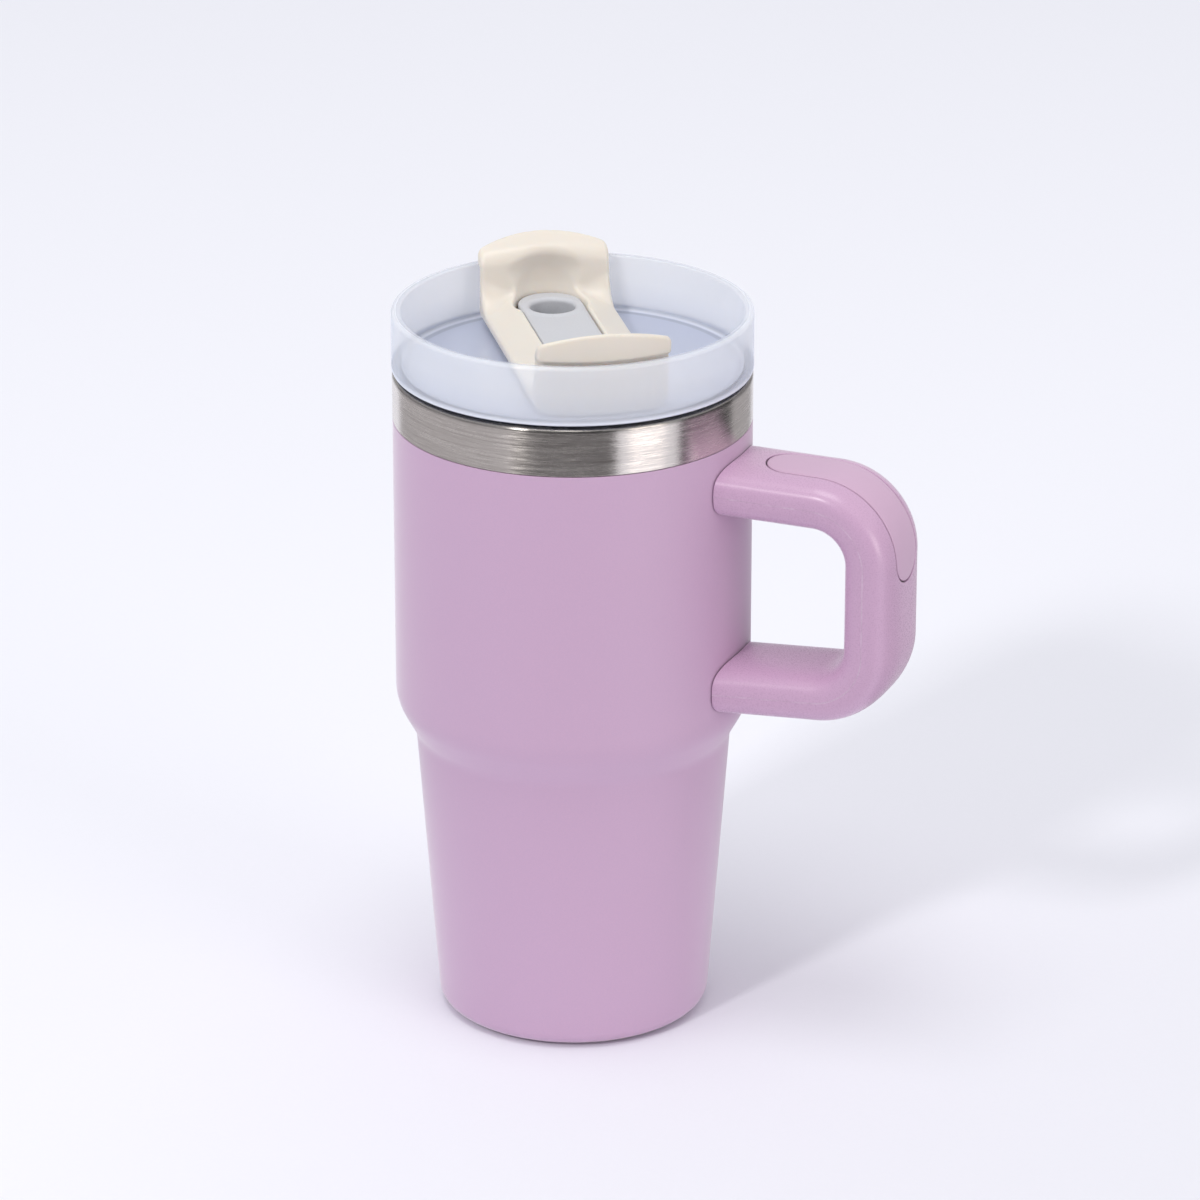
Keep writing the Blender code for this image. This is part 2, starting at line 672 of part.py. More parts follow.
def lid_body():
    """Milky moulding: a tall rim, a flat deck and a grooved skirt, with two holes and a stop groove."""
    deck_low = DECK_Z - DECK_SHEET
    edge = LID_EDGE_ROUND
    corners = [
        (LID_RADIUS, LID_TOP_Z, edge),
        (LID_RADIUS, RIM_Z + GAP, edge),
        (FLANGE_RADIUS, RIM_Z + GAP, 0),
        (FLANGE_RADIUS, deck_low, 0),
        (SKIRT_OUTER, deck_low, 0),
        (SKIRT_OUTER, GROOVE_HIGH_Z, 0),
        (GROOVE_RADIUS, GROOVE_HIGH_Z, 0),
        (GROOVE_RADIUS, GROOVE_LOW_Z, 0),
        (SKIRT_OUTER, GROOVE_LOW_Z, 0),
        (SKIRT_OUTER, SKIRT_END_Z, edge / 2),
        (SKIRT_INNER, SKIRT_END_Z, edge / 2),
        (SKIRT_INNER, deck_low, edge),
        (PIVOT_HOLE_RADIUS, deck_low, 0),
        (PIVOT_HOLE_RADIUS, DECK_Z, 0),
        (LID_WALL_RADIUS, DECK_Z, edge),
        (LID_WALL_RADIUS, LID_TOP_Z, edge),
    ]
    lid = turned("lid_body", rounded(corners), CLEAR)
    centre = (STRAW_X * math.cos(COVER_TURN), STRAW_X * math.sin(COVER_TURN))
    drink = cylinder("drink_hole", DRINK_HOLE_RADIUS, deck_low - PAST, DECK_Z + PAST, centre)
    combine(lid, drink, "DIFFERENCE")

    half = PEG_RADIUS + GAP
    groove = [
        (PEG_Y + half, DECK_Z + PAST),
        (PEG_Y + half, STOP_FLOOR_Z),
        (PEG_Y - half, STOP_FLOOR_Z),
        (PEG_Y - half, DECK_Z + PAST),
    ]
    start = COVER_TURN + math.pi / 2 - STOP_MARGIN
    sweep = COVER_TRAVEL + 2 * STOP_MARGIN
    combine(lid, arc_cutter("stop_groove", groove, start, sweep), "DIFFERENCE")


def arc_cutter(name, section, start, sweep):
    """A closed (r, z) section carried part of the way round Z, with both ends capped."""
    steps = SMALL_STEPS
    cage = bmesh.new()
    rings = []
    for k in range(steps + 1):
        angle = start + sweep * k / steps
        rings.append([cage.verts.new((r * math.cos(angle), r * math.sin(angle), z)) for r, z in section])
    count = len(section)
    for first, second in zip(rings, rings[1:]):
        for k in range(count):
            near = (k + 1) % count
            cage.faces.new((first[k], first[near], second[near], second[k]))
    cage.faces.new(rings[0])
    cage.faces.new(rings[-1])
    bmesh.ops.recalc_face_normals(cage, faces=cage.faces)
    mesh = bpy.data.meshes.new(name)
    cage.to_mesh(mesh)
    cage.free()
    return helper(add(name, mesh, None))


def lid_gasket():
    """Silicone ring in the skirt's groove with two lips."""
    inner = GROOVE_RADIUS + GAP
    high = GROOVE_HIGH_Z - GAP
    low = GROOVE_LOW_Z + GAP
    root = SKIRT_OUTER + 2 * GAP
    pitch = (high - low) / 2
    outline = [(inner, high), (root, high)]
    for k in range(2):
        tip = high - GASKET_LIP_EDGE - k * pitch
        outline.append((GASKET_LIP_RADIUS, tip))
        outline.append((GASKET_LIP_RADIUS, tip - GASKET_LIP_EDGE))
        outline.append((root, tip - GASKET_LIP_EDGE - GASKET_LIP_DROP / 2))
        if k == 0:
            outline.append((root, high - pitch))
    outline += [(root, low), (inner, low)]
    turned("lid_gasket", outline, SILICONE)


def cover_plan():
    """The cover seen from above: a bar with round ends that follow the lid's wall."""
    corner = math.asin(TAB_HALF_WIDTH / COVER_REACH)
    quarter = []
    for k in range(CROWN_STEPS // 2 + 1):
        angle = corner * 2 * k / CROWN_STEPS
        quarter.append((COVER_REACH * math.cos(angle), COVER_REACH * math.sin(angle)))
    half = quarter + [(-x, y) for x, y in quarter[::-1]]
    return half[:-1] + [(-x, -y) for x, y in half[:-1]]


def cover_side():
    """The cover seen from its side: low arms between two raised tabs."""
    past = COVER_REACH + PAST
    half = [
        (past, COVER_LOW_Z, 0),
        (past, TAB_OUTER_Z, 0),
        (COVER_REACH, TAB_OUTER_Z, 0),
        (TAB_FACE_X, TAB_CREASE_Z, TAB_CREASE_ROUND),
        (TAB_FACE_X, ARM_TOP_Z, TAB_FACE_ROUND),
    ]
    return rounded(half + [(-x, z, r) for x, z, r in half[::-1]])


def cover_front():
    """The cover seen from its end: upright sides under a crowned top with round corners."""
    rise = TAB_CROWN_Z - TAB_CORNER_Z
    radius = (TAB_HALF_WIDTH**2 + rise**2) / (2 * rise)
    side = TAB_HALF_WIDTH + GAP
    inner = side - TAB_CORNER_ROUND - GAP
    crown = []
    for k in range(CROWN_STEPS + 1):
        across = inner * (1 - 2 * k / CROWN_STEPS)
        crown.append((across, TAB_CROWN_Z - radius + math.sqrt(radius**2 - across**2), 0))
    corners = [(-side, COVER_LOW_Z - PAST, 0), (side, COVER_LOW_Z - PAST, 0)]
    corners += [(side, TAB_CORNER_Z, TAB_CORNER_ROUND)] + crown + [(-side, TAB_CORNER_Z, TAB_CORNER_ROUND)]
    return rounded(corners)


def rotating_cover(axis):
    """Cream bar with two lipped tabs, a slot for the seal, and a boss through the lid's deck."""
    cover = extruded("rotating_cover", [cover_plan()], COVER_LOW_Z, TAB_OUTER_Z + PAST, CREAM, axis)
    reach = COVER_REACH + 2 * PAST
    side = extruded("cover_side", [cover_side()], -reach, reach, parent=axis, stand=UPRIGHT)
    combine(cover, side, "INTERSECT")
    front = extruded("cover_front", [cover_front()], -reach, reach, parent=axis, stand=ACROSS)
    combine(cover, front, "INTERSECT")
    roof_end = TAB_FACE_X - GAP
    past_side = TAB_HALF_WIDTH + PAST
    fall = (ARM_TOP_Z - ARM_EDGE_Z) / (TAB_HALF_WIDTH - SLOT_HALF_WIDTH)
    for name, sign in (("left_roof", 1), ("right_roof", -1)):
        above = [
            (sign * SLOT_HALF_WIDTH, ARM_TOP_Z),
            (sign * past_side, ARM_EDGE_Z - fall * PAST),
            (sign * past_side, ARM_TOP_Z + PAST),
            (sign * SLOT_HALF_WIDTH, ARM_TOP_Z + PAST),
        ]
        roof = extruded(name, [above], -roof_end, roof_end, parent=axis, stand=ACROSS)
        combine(cover, roof, "DIFFERENCE")
    undercut = [
        (reach, TAB_LIP_Z),
        (reach, COVER_LOW_Z - PAST),
        (TAB_FOOT_RADIUS, COVER_LOW_Z - PAST),
        (TAB_FOOT_RADIUS, TAB_LIP_Z),
    ]
    combine(cover, turned("lip_undercut", undercut, None, axis), "DIFFERENCE")

    slot_centre = SLOT_END_X - SLOT_HALF_WIDTH
    low = (-slot_centre, -SLOT_HALF_WIDTH, COVER_LOW_Z - PAST)
    high = (slot_centre, SLOT_HALF_WIDTH, TAB_OUTER_Z + PAST)
    slot = box("cover_slot", low, high, parent=axis)
    combine(cover, slot, "DIFFERENCE")
    rise = POCKET_TOP_Z - POCKET_SPRING_Z
    dome = []
    for k in range(CROWN_STEPS // 2 + 1):
        angle = math.pi * k / CROWN_STEPS
        dome.append((SLOT_HALF_WIDTH * math.sin(angle), POCKET_SPRING_Z + rise * math.cos(angle)))
    pocket = dome + [(SLOT_HALF_WIDTH, COVER_LOW_Z - PAST), (0, COVER_LOW_Z - PAST)]
    for name, x in (("straw_pocket", slot_centre), ("front_pocket", -slot_centre)):
        place = Matrix.Translation((x, 0, 0))
        cutter = turned(name, pocket, None, axis, place, steps=SMALL_STEPS)
        combine(cover, cutter, "DIFFERENCE")

    bridge_low = (-BRIDGE_HALF_LENGTH, -BRIDGE_HALF_WIDTH, COVER_LOW_Z)
    bridge_high = (BRIDGE_HALF_LENGTH, BRIDGE_HALF_WIDTH, BRIDGE_TOP_Z)
    combine(cover, box("pivot_bridge", bridge_low, bridge_high, parent=axis), "UNION")
    bridge_middle = (COVER_LOW_Z + BRIDGE_TOP_Z) / 2
    combine(cover, cylinder("pivot_boss", BOSS_RADIUS, BOSS_END_Z, bridge_middle, parent=axis), "UNION")
    pilot = cylinder("pivot_pilot", PIVOT_PILOT_RADIUS, BOSS_END_Z - PAST, PIVOT_PILOT_TOP_Z, parent=axis)
    combine(cover, pilot, "DIFFERENCE")
    peg = cylinder("stop_peg", PEG_RADIUS, PEG_END_Z, bridge_middle, (0, PEG_Y), axis, steps=PEG_SIDES)
    combine(cover, peg, "UNION")


def straw_seal(axis):
    """Grey insert in the cover's slot, with a straw hole at one end and a blank pad at the other."""
    half_width = SLOT_HALF_WIDTH - GAP
    end = SLOT_END_X - GAP
    end_round = half_width - SEAL_END_FLAT
    stadium = [(end, -half_width, end_round), (end, half_width, end_round)]
    stadium += [(-x, -y, r) for x, y, r in stadium]
    turns = [math.tau * k / SMALL_STEPS for k in range(SMALL_STEPS)]
    hole = [(STRAW_X + STRAW_RADIUS * math.cos(a), STRAW_RADIUS * math.sin(a)) for a in turns]
    seal = extruded("straw_seal", [rounded(stadium), hole], SEAL_LOW_Z, SEAL_TOP_Z, SILICONE, axis)
    clear = BRIDGE_HALF_LENGTH + GAP
    low = (-clear, -BRIDGE_HALF_WIDTH, SEAL_LOW_Z - PAST)
    high = (clear, BRIDGE_HALF_WIDTH, BRIDGE_TOP_Z + GAP)
    combine(seal, box("bridge_clearance", low, high, parent=axis), "DIFFERENCE")


def pivot(axis):
    """The o-ring, retainer and screw that keep the cover on the deck."""
    ring_z = DECK_Z - DECK_SHEET - GAP - RING_CORD
    turns = [-math.tau * k / RING_SIDES for k in range(RING_SIDES)]
    ring = [(RING_RADIUS + RING_CORD * math.cos(a), ring_z + RING_CORD * math.sin(a)) for a in turns]
    turned("pivot_o_ring", ring, SILICONE, axis, steps=SMALL_STEPS)

    top = ring_z - RING_CORD - GAP
    low = top - RETAINER_HEIGHT
    disc = [
        (RETAINER_RADIUS, top, 0),
        (RETAINER_RADIUS, low, SHEET),
        (PIVOT_PILOT_RADIUS, low, 0),
        (PIVOT_PILOT_RADIUS, top, 0),
    ]
    turned("pivot_retainer", rounded(disc), CREAM, axis, steps=SMALL_STEPS)

    head_high = low - GAP
    head_low = head_high - PIVOT_HEAD_HEIGHT
    head = (PIVOT_HEAD_RADIUS, head_high, head_low)
    screw("pivot_screw", PIVOT_SCREW_RADIUS, PIVOT_SCREW_TOP_Z, head, axis)


for old in list(bpy.data.objects):
    bpy.data.objects.remove(old)
PARTS = collection("insulated_tumbler")
HELPERS = collection("cutters")

PAINT = material("powder_coat", (0.58, 0.39, 0.56), 0.55)
MOULDED = material("moulded_handle", (0.58, 0.39, 0.56), 0.48)
SOFT = material("soft_inlay", (0.55, 0.37, 0.53), 0.62)
STEEL = material("brushed_steel", (0.72, 0.70, 0.68), 0.28, metallic=1.0)
GLASS = material("solder_glass", (0.18, 0.22, 0.20), 0.15)
GETTER = material("getter_metal", (0.30, 0.29, 0.28), 0.60, metallic=1.0)
CLEAR = material("milky_lid", (0.78, 0.80, 0.86), 0.12, alpha=0.6)
CREAM = material("cream_plastic", (0.80, 0.74, 0.66), 0.22)
SILICONE = material("grey_silicone", (0.64, 0.65, 0.68), 0.45)

outer_shell()
inner_liner()
closed_bottom()
handle()
lid_body()
lid_gasket()
cover_axis = frame("cover_axis", Matrix.Rotation(COVER_TURN, 4, "Z"))
rotating_cover(cover_axis)
straw_seal(cover_axis)
pivot(cover_axis)
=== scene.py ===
# %% [markdown]
# # An insulated tumbler, dressed
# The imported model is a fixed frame: every solid is already in its place, in metres, with the handle along
# +X. This lesson gives that frame its looks. Round and moulded pieces are worked out again as fine
# surfaces, and every piece gets a finish made of shader nodes.

import math

import bmesh
import bpy
import numpy as np
from mathutils import Matrix


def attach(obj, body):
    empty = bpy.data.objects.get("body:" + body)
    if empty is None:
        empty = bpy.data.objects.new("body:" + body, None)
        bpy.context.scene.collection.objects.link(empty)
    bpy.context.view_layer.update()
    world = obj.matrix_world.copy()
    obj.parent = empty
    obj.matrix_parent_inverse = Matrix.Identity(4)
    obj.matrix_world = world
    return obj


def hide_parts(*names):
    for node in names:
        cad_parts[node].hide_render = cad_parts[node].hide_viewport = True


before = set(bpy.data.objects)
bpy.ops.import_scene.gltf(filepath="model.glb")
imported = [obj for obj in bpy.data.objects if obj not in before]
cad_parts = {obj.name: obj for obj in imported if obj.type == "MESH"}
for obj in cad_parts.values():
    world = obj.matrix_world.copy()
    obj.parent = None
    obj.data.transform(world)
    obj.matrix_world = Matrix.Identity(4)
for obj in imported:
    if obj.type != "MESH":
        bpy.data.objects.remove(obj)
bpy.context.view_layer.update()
MM = 0.001

# %% [markdown]
# ## Camera
# The picture is taken with a long lens from the front and a little above, so the upright lines stay
# nearly parallel. The place was solved from the ellipses of the lid and the foot, so it is given in
# numbers and not by a tracking rule.

# %% Camera
scene = bpy.context.scene
camera = bpy.data.objects.new("camera", bpy.data.cameras.new("camera"))
scene.collection.objects.link(camera)
camera.data.lens = 180
camera.data.sensor_width = 36
camera.location = (0.5493, -1.2769, 0.6611)
camera.rotation_euler = (math.radians(68.29), 0, math.radians(23))
scene.camera = camera
scene.view_settings.view_transform = "Standard"
print("camera at", [round(v, 3) for v in camera.location])

# %% [markdown]
# ## Shader maths
# A finish is a small calculation: take a coordinate, make a pattern, mix two tones with it. One class
# stands for a socket and turns Python's operators into Math nodes. A second one holds a node tree, and
# its one method makes any other node from its type, its settings and the values of its sockets.


# %% Sockets and trees
class Wire:
    """An output socket. Arithmetic on it adds Math nodes to its tree."""

    def __init__(self, tree, socket):
        self.tree = tree
        self.socket = socket

    def math(self, operation, first, second):
        return self.tree.node("Math", {"operation": operation}, {0: first, 1: second})

    def __add__(self, other):
        return self.math("ADD", self, other)

    def __radd__(self, other):
        return self.math("ADD", other, self)

    def __sub__(self, other):
        return self.math("SUBTRACT", self, other)

    def __rsub__(self, other):
        return self.math("SUBTRACT", other, self)

    def __mul__(self, other):
        return self.math("MULTIPLY", self, other)

    def __gt__(self, other):
        return self.math("GREATER_THAN", self, other)

    def __lt__(self, other):
        return self.math("LESS_THAN", self, other)


class Tree:
    """The node tree of a material or of the world."""

    def __init__(self, owner):
        owner.use_nodes = True
        self.nodes = owner.node_tree.nodes
        self.links = owner.node_tree.links

    def node(self, kind, settings=None, sockets=None, output=0):
        """A new node: its settings are set first, then its sockets get values or links."""
        made = self.nodes.new("ShaderNode" + kind)
        for key, value in (settings or {}).items():
            if key == "stops":
                self.stops(made.color_ramp.elements, value)
            else:
                setattr(made, key, value)
        for key, value in (sockets or {}).items():
            self.put(made.inputs[key], value)
        return Wire(self, made.outputs[output])

    def put(self, socket, value):
        """Links a wire to a socket, or sets a plain value on it."""
        if isinstance(value, Wire):
            self.links.new(value.socket, socket)
        else:
            socket.default_value = value

    def stops(self, elements, wanted):
        """Gives a colour ramp its (place, grey) stops."""
        while len(elements) < len(wanted):
            elements.new(1.0)
        for element, (place, grey) in zip(elements, wanted):
            element.position = place
            element.color = (grey, grey, grey, 1.0)


class Finish(Tree):
    """A Principled material. Constants go straight onto the shader's sockets."""

    def __init__(self, name, **constants):
        self.material = bpy.data.materials.new(name)
        super().__init__(self.material)
        self.shader = self.nodes["Principled BSDF"]
        self.place = self.node("TexCoord", output="Object")
        for key, value in constants.items():
            socket = key.replace("_", " ").title().replace("Ior", "IOR")
            self.shader.inputs[socket].default_value = value

    def noise(self, scale, detail=3.0, stretch=(1, 1, 1)):
        """Noise on Object coordinates, with so many cells to the metre, stretched along the axes."""
        spread = self.node("Mapping", {}, {"Vector": self.place, "Scale": stretch})
        return self.node("TexNoise", {}, {"Vector": spread, "Scale": scale, "Detail": detail})

    def specks(self, scale, size):
        """A mask of sparse dots: the middles of Voronoi cells."""
        dots = self.node("TexVoronoi", {}, {"Vector": self.place, "Scale": scale})
        return dots < size

    def blend(self, share, first, second):
        """Two colours mixed by a share from 0 to 1."""
        sockets = {0: share, 6: (*first, 1.0) if isinstance(first, tuple) else first}
        sockets[7] = (*second, 1.0) if isinstance(second, tuple) else second
        return self.node("Mix", {"data_type": "RGBA"}, sockets, output=2)

    def ramp(self, value, *stops):
        """A value remapped through (place, grey) stops."""
        return self.node("ValToRGB", {"stops": stops}, {0: value})

    def fade(self, value, start, end):
        """0 at start, 1 at end and straight between. The start may be the larger number."""
        return self.node("MapRange", {}, {0: value, 1: start, 2: end})

    def height(self):
        """Height above the foot, in metres."""
        return self.node("SeparateXYZ", {}, {0: self.place}, output="Z")

    def bump(self, height, strength, depth):
        """Small relief: height from 0 to 1 stands for so many metres."""
        sockets = {"Height": height, "Strength": strength, "Distance": depth}
        self.put(self.shader.inputs["Normal"], self.node("Bump", {}, sockets))

    def paint(self, colour=None, roughness=None, metallic=None, alpha=None):
        """Feeds what varies over the surface to the shader."""
        fed = {"Base Color": colour, "Roughness": roughness, "Metallic": metallic, "Alpha": alpha}
        for key, value in fed.items():
            if value is not None:
                self.put(self.shader.inputs[key], value)


print("shader helpers ready")

# %% [markdown]
# ## Stage and light
# The set is a sheet of pale paper. A small softbox in front gives the shadow an edge, a low warm panel at
# the right puts the bright patch on the steel, and a softbox overhead lights the tops. Most of the light
# comes from all around, so the shadow stays pale. Steel shows only what stands round it, so a few grey
# cloths are put there. Reflections see them and the camera doesn't.

# %% Stage and light
floor_mesh = bpy.data.meshes.new("floor")
REACH = 6.0
UNDER_FOOT = -0.05 * MM
floor_corners = [(-REACH, -REACH), (REACH, -REACH), (REACH, REACH), (-REACH, REACH)]
floor_mesh.from_pydata([(x, y, UNDER_FOOT) for x, y in floor_corners], [], [(0, 1, 2, 3)])
floor = bpy.data.objects.new("floor", floor_mesh)
scene.collection.objects.link(floor)
paper = Finish("pale_paper", roughness=0.9, specular_ior_level=0.1)
fibre = paper.noise(700, 4)
paper.paint(colour=paper.blend(fibre, (0.862, 0.868, 0.932), (0.878, 0.884, 0.948)))
floor_mesh.materials.append(paper.material)
MIDDLE = 0.1


def softbox(name, azimuth, elevation, distance, size, power, colour):
    """A square area light that faces the tumbler's middle from a direction in degrees."""
    lamp = bpy.data.lights.new(name, "AREA")
    lamp.size = size
    lamp.energy = power
    lamp.color = colour
    turn = math.radians(azimuth)
    rise = math.radians(elevation)
    level_part = math.cos(rise)
    toward = np.array([level_part * math.cos(turn), level_part * math.sin(turn), math.sin(rise)])
    made = bpy.data.objects.new(name, lamp)
    made.location = toward * distance + np.array([0, 0, MIDDLE])
    made.rotation_euler = (math.pi / 2 - rise, 0, turn + math.pi / 2)
    scene.collection.objects.link(made)
    print(name, "at", azimuth, "degrees round and", elevation, "up")


softbox("key_softbox", -103, 36, 5.0, 0.6, 78, (1.0, 0.98, 0.96))
softbox("side_panel", -20, 12, 3.5, 1.4, 25, (1.0, 0.92, 0.86))
softbox("top_softbox", -90, 78, 2.2, 1.0, 14, (1.0, 0.99, 0.98))
scene.world = bpy.data.worlds.new("pale_room")
room = Tree(scene.world)
room.nodes["Background"].inputs["Color"].default_value = (0.97, 0.98, 1.0, 1.0)
room.nodes["Background"].inputs["Strength"].default_value = 0.695


def cloth(name, turns, line, grey, only_gloss=True):
    """A grey cloth: a line of (distance, height) points, turned round the tumbler between two directions.

    The camera doesn't see it. With only_gloss it shows in reflections alone and throws no shadow.
    """
    angle = np.radians(np.linspace(*turns, 24))
    distance, level = np.array(line).T[:, :, None]
    points = np.stack([distance * np.cos(angle), distance * np.sin(angle), level + 0 * angle], -1)
    start = (np.arange(len(line) - 1)[:, None] * len(angle) + np.arange(len(angle) - 1)).ravel()
    faces = np.stack([start, start + 1, start + 1 + len(angle), start + len(angle)], -1)
    cloth_mesh = bpy.data.meshes.new(name)
    cloth_mesh.from_pydata(points.reshape(-1, 3).tolist(), [], faces.tolist())
    woven = Finish(name, roughness=1.0, specular_ior_level=0.0)
    low_tone = (grey * 0.85, grey * 0.83, grey * 0.87)
    high_tone = (grey * 1.15, grey * 1.13, grey * 1.17)
    woven.paint(colour=woven.blend(woven.noise(900, 2), low_tone, high_tone))
    cloth_mesh.materials.append(woven.material)
    made = bpy.data.objects.new(name, cloth_mesh)
    scene.collection.objects.link(made)
    made.visible_camera = False
    if only_gloss:
        made.visible_diffuse = False
        made.visible_shadow = False
        made.visible_transmission = False


FAR = 1.9
cloth("cloth_behind_camera", (-100, -45), [(FAR, 0.0), (FAR, 1.7)], 0.03, only_gloss=False)
ground = [(0.12, 0.001), (FAR, 0.001), (FAR, 1.0)]
cloth("cloth_left", (-206, -104), ground, 0.42)
cloth("cloth_in_front", (-104, -40), ground, 0.17)
cloth("cloth_right", (2, 50), ground, 0.09)
cloth("cloth_behind_right", (50, 86), ground, 0.42)
print("stage, three lights, five cloths and a pale room")

# %% [markdown]
# ## From arrays to meshes
# A surface is a grid of points: one direction follows the outline, the other goes round or along. The
# points are worked out as whole arrays, and the quads between them come from the grid's numbering.


# %% Grids
def grid_quads(rows, columns, close_rows=False, close_columns=False):
    """Quads (i, j), (i+1, j), (i+1, j+1), (i, j+1) of a grid, wrapped round where it closes."""
    down = np.arange(rows if close_rows else rows - 1)
    over = np.arange(columns if close_columns else columns - 1)
    i, j = np.meshgrid(down, over, indexing="ij")
    below = (i + 1) % rows
    right = (j + 1) % columns
    corners = [i * columns + j, below * columns + j, below * columns + right, i * columns + right]
    return np.stack(corners, -1).reshape(-1, 4)


def piece(name, points, faces, finish, body, replaced=(), slot=None, sharp=35, values=None):
    """A finished mesh object: doubles merged, faces outwards, smooth except over sharp edges."""
    mesh = bpy.data.meshes.new(name)
    mesh.from_pydata(np.asarray(points).reshape(-1, 3).tolist(), [], [list(face) for face in faces])
    for key, value in (values or {}).items():
        attribute = mesh.attributes.new(key, "FLOAT", "POINT")
        attribute.data.foreach_set("value", value.ravel().astype(np.float32))
    cage = bmesh.new()
    cage.from_mesh(mesh)
    bmesh.ops.remove_doubles(cage, verts=cage.verts, dist=0.002 * MM)
    bmesh.ops.recalc_face_normals(cage, faces=cage.faces)
    cage.to_mesh(mesh)
    cage.free()
    mesh.shade_smooth()
    mesh.set_sharp_from_angle(angle=math.radians(sharp))
    mesh.materials.append(finish.material)
    made = bpy.data.objects.new(name, mesh)
    scene.collection.objects.link(made)
    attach(made, body)
    if replaced:
        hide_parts(*replaced)
    print(f"{name}: {len(mesh.vertices)} points, {len(mesh.polygons)} faces")
    return made


def outline(corners, closed=True, step=6.0):
    """The line through (x, y, radius) corners in millimetres, with an arc of that radius at each.

    An arc's centre lies on the corner's bisector at radius / sin(half angle).
    """
    parts = []
    count = len(corners)
    for index, (x, y, radius) in enumerate(corners):
        corner = np.array([x, y], float)
        if radius == 0 or (not closed and index in (0, count - 1)):
            parts.append(corner[None])
            continue
        before = np.array(corners[index - 1][:2], float) - corner
        after = np.array(corners[(index + 1) % count][:2], float) - corner
        before /= np.linalg.norm(before)
        after /= np.linalg.norm(after)
        half = math.acos(np.clip(before @ after, -1, 1)) / 2
        middle = (before + after) / np.linalg.norm(before + after)
        centre = corner + middle * radius / math.sin(half)
        sweep = math.pi - 2 * half
        steps = max(2, int(round(math.degrees(sweep) / step)))
        angles = np.linspace(-sweep / 2, sweep / 2, steps + 1)
        side = np.array([-middle[1], middle[0]])
        side = side if side @ after > 0 else -side
        arc = np.outer(np.sin(angles), side) - np.outer(np.cos(angles), middle)
        parts.append(centre + radius * arc)
    return np.concatenate(parts) * MM


def turned(name, corners, finish, body, replaced, slot=None, closed=True, steps=160, place=None, **more):
    """A turned piece: the point of the outline at (r, z), at angle a, is (r cos a, r sin a, z)."""
    profile = outline(corners, closed)
    angle = np.linspace(0, 2 * math.pi, steps, endpoint=False)
    r, z = profile[:, :1], profile[:, 1:]
    points = np.stack([r * np.cos(angle), r * np.sin(angle), z + 0 * angle], -1).reshape(-1, 3)
    if place is not None:
        points = points @ np.array(place.to_3x3()).T + np.array(place.translation)
    faces = grid_quads(len(profile), steps, closed, True)
    return piece(name, points, faces, finish, body, replaced, slot, **more)


print("grid helpers ready")

# %% [markdown]
# ## Powder coat
# The wall is sprayed with powder that melts into a fine, slightly pebbled skin. Two close lilac tones in
# a fine noise give the speckle that shows close up, a low bump gives the pebbles, which soften the
# highlights, and a sheen lightens the wall where it turns away.

# %% Powder coat finish
coat = Finish("powder_coat", specular_ior_level=0.5, sheen_weight=0.8, sheen_roughness=0.35)
pebbles = coat.noise(2600, 2)
clouds = coat.noise(45, 2)
tone = coat.blend(pebbles, (0.552, 0.378, 0.555), (0.626, 0.414, 0.580))
coat.paint(colour=coat.blend(clouds * 0.25, tone, (0.567, 0.396, 0.580)), roughness=0.44 + pebbles * 0.12)
coat.bump(pebbles, 0.25, 0.04 * MM)
print(coat.material.name)

# %% [markdown]
# ## Outer wall
# The wall is straight above, narrows in a soft shoulder and runs down as a cone to a turned-in foot. It
# is one outline turned about the axis. The same corners as in the solid are used, with many more steps in
# the arcs.

# %% Outer wall
CUP = 44.4
PAINT_END = 157.0
PAINT_GAP = 0.2
SHEET = 0.6
SHOULDER_LEVEL = 83.3
SHOULDER_ROUND = 14
WAIST = 39.45
WAIST_LEVEL = 74.4
WAIST_ROUND = 8
FOOT = 33.95
FOOT_LEVEL = 0.6
FOOT_ROUND = 3.5
FOOT_HOLE = 30.0
wall_outside = [
    (CUP, PAINT_END - PAINT_GAP, 0.15),
    (CUP, SHOULDER_LEVEL, SHOULDER_ROUND),
    (WAIST, WAIST_LEVEL, WAIST_ROUND),
    (FOOT, FOOT_LEVEL, FOOT_ROUND),
    (FOOT_HOLE, FOOT_LEVEL, 0),
]
wall_inside = [
    (FOOT_HOLE, FOOT_LEVEL + SHEET, 0),
    (FOOT - SHEET, FOOT_LEVEL + SHEET, FOOT_ROUND - SHEET),
    (WAIST - SHEET, WAIST_LEVEL, WAIST_ROUND),
    (CUP - SHEET, SHOULDER_LEVEL, SHOULDER_ROUND),
    (CUP - SHEET, PAINT_END - PAINT_GAP, 0.15),
]
turned("outer_wall", wall_outside + wall_inside, coat, "cup", ["outer_shell"], "powder_coat", steps=224)

# %% [markdown]
# ## Brushed steel
# The liner and its band were brushed while turning, so the scratches run round the cup. Noise that is
# squeezed along Z and left long across it gives streaks of that direction. They tilt the surface up and
# down only, which pulls every reflection out into an upright band. The rolled lip lies in the lid's
# shadow, and a darker tone over the last millimetre helps that shadow.

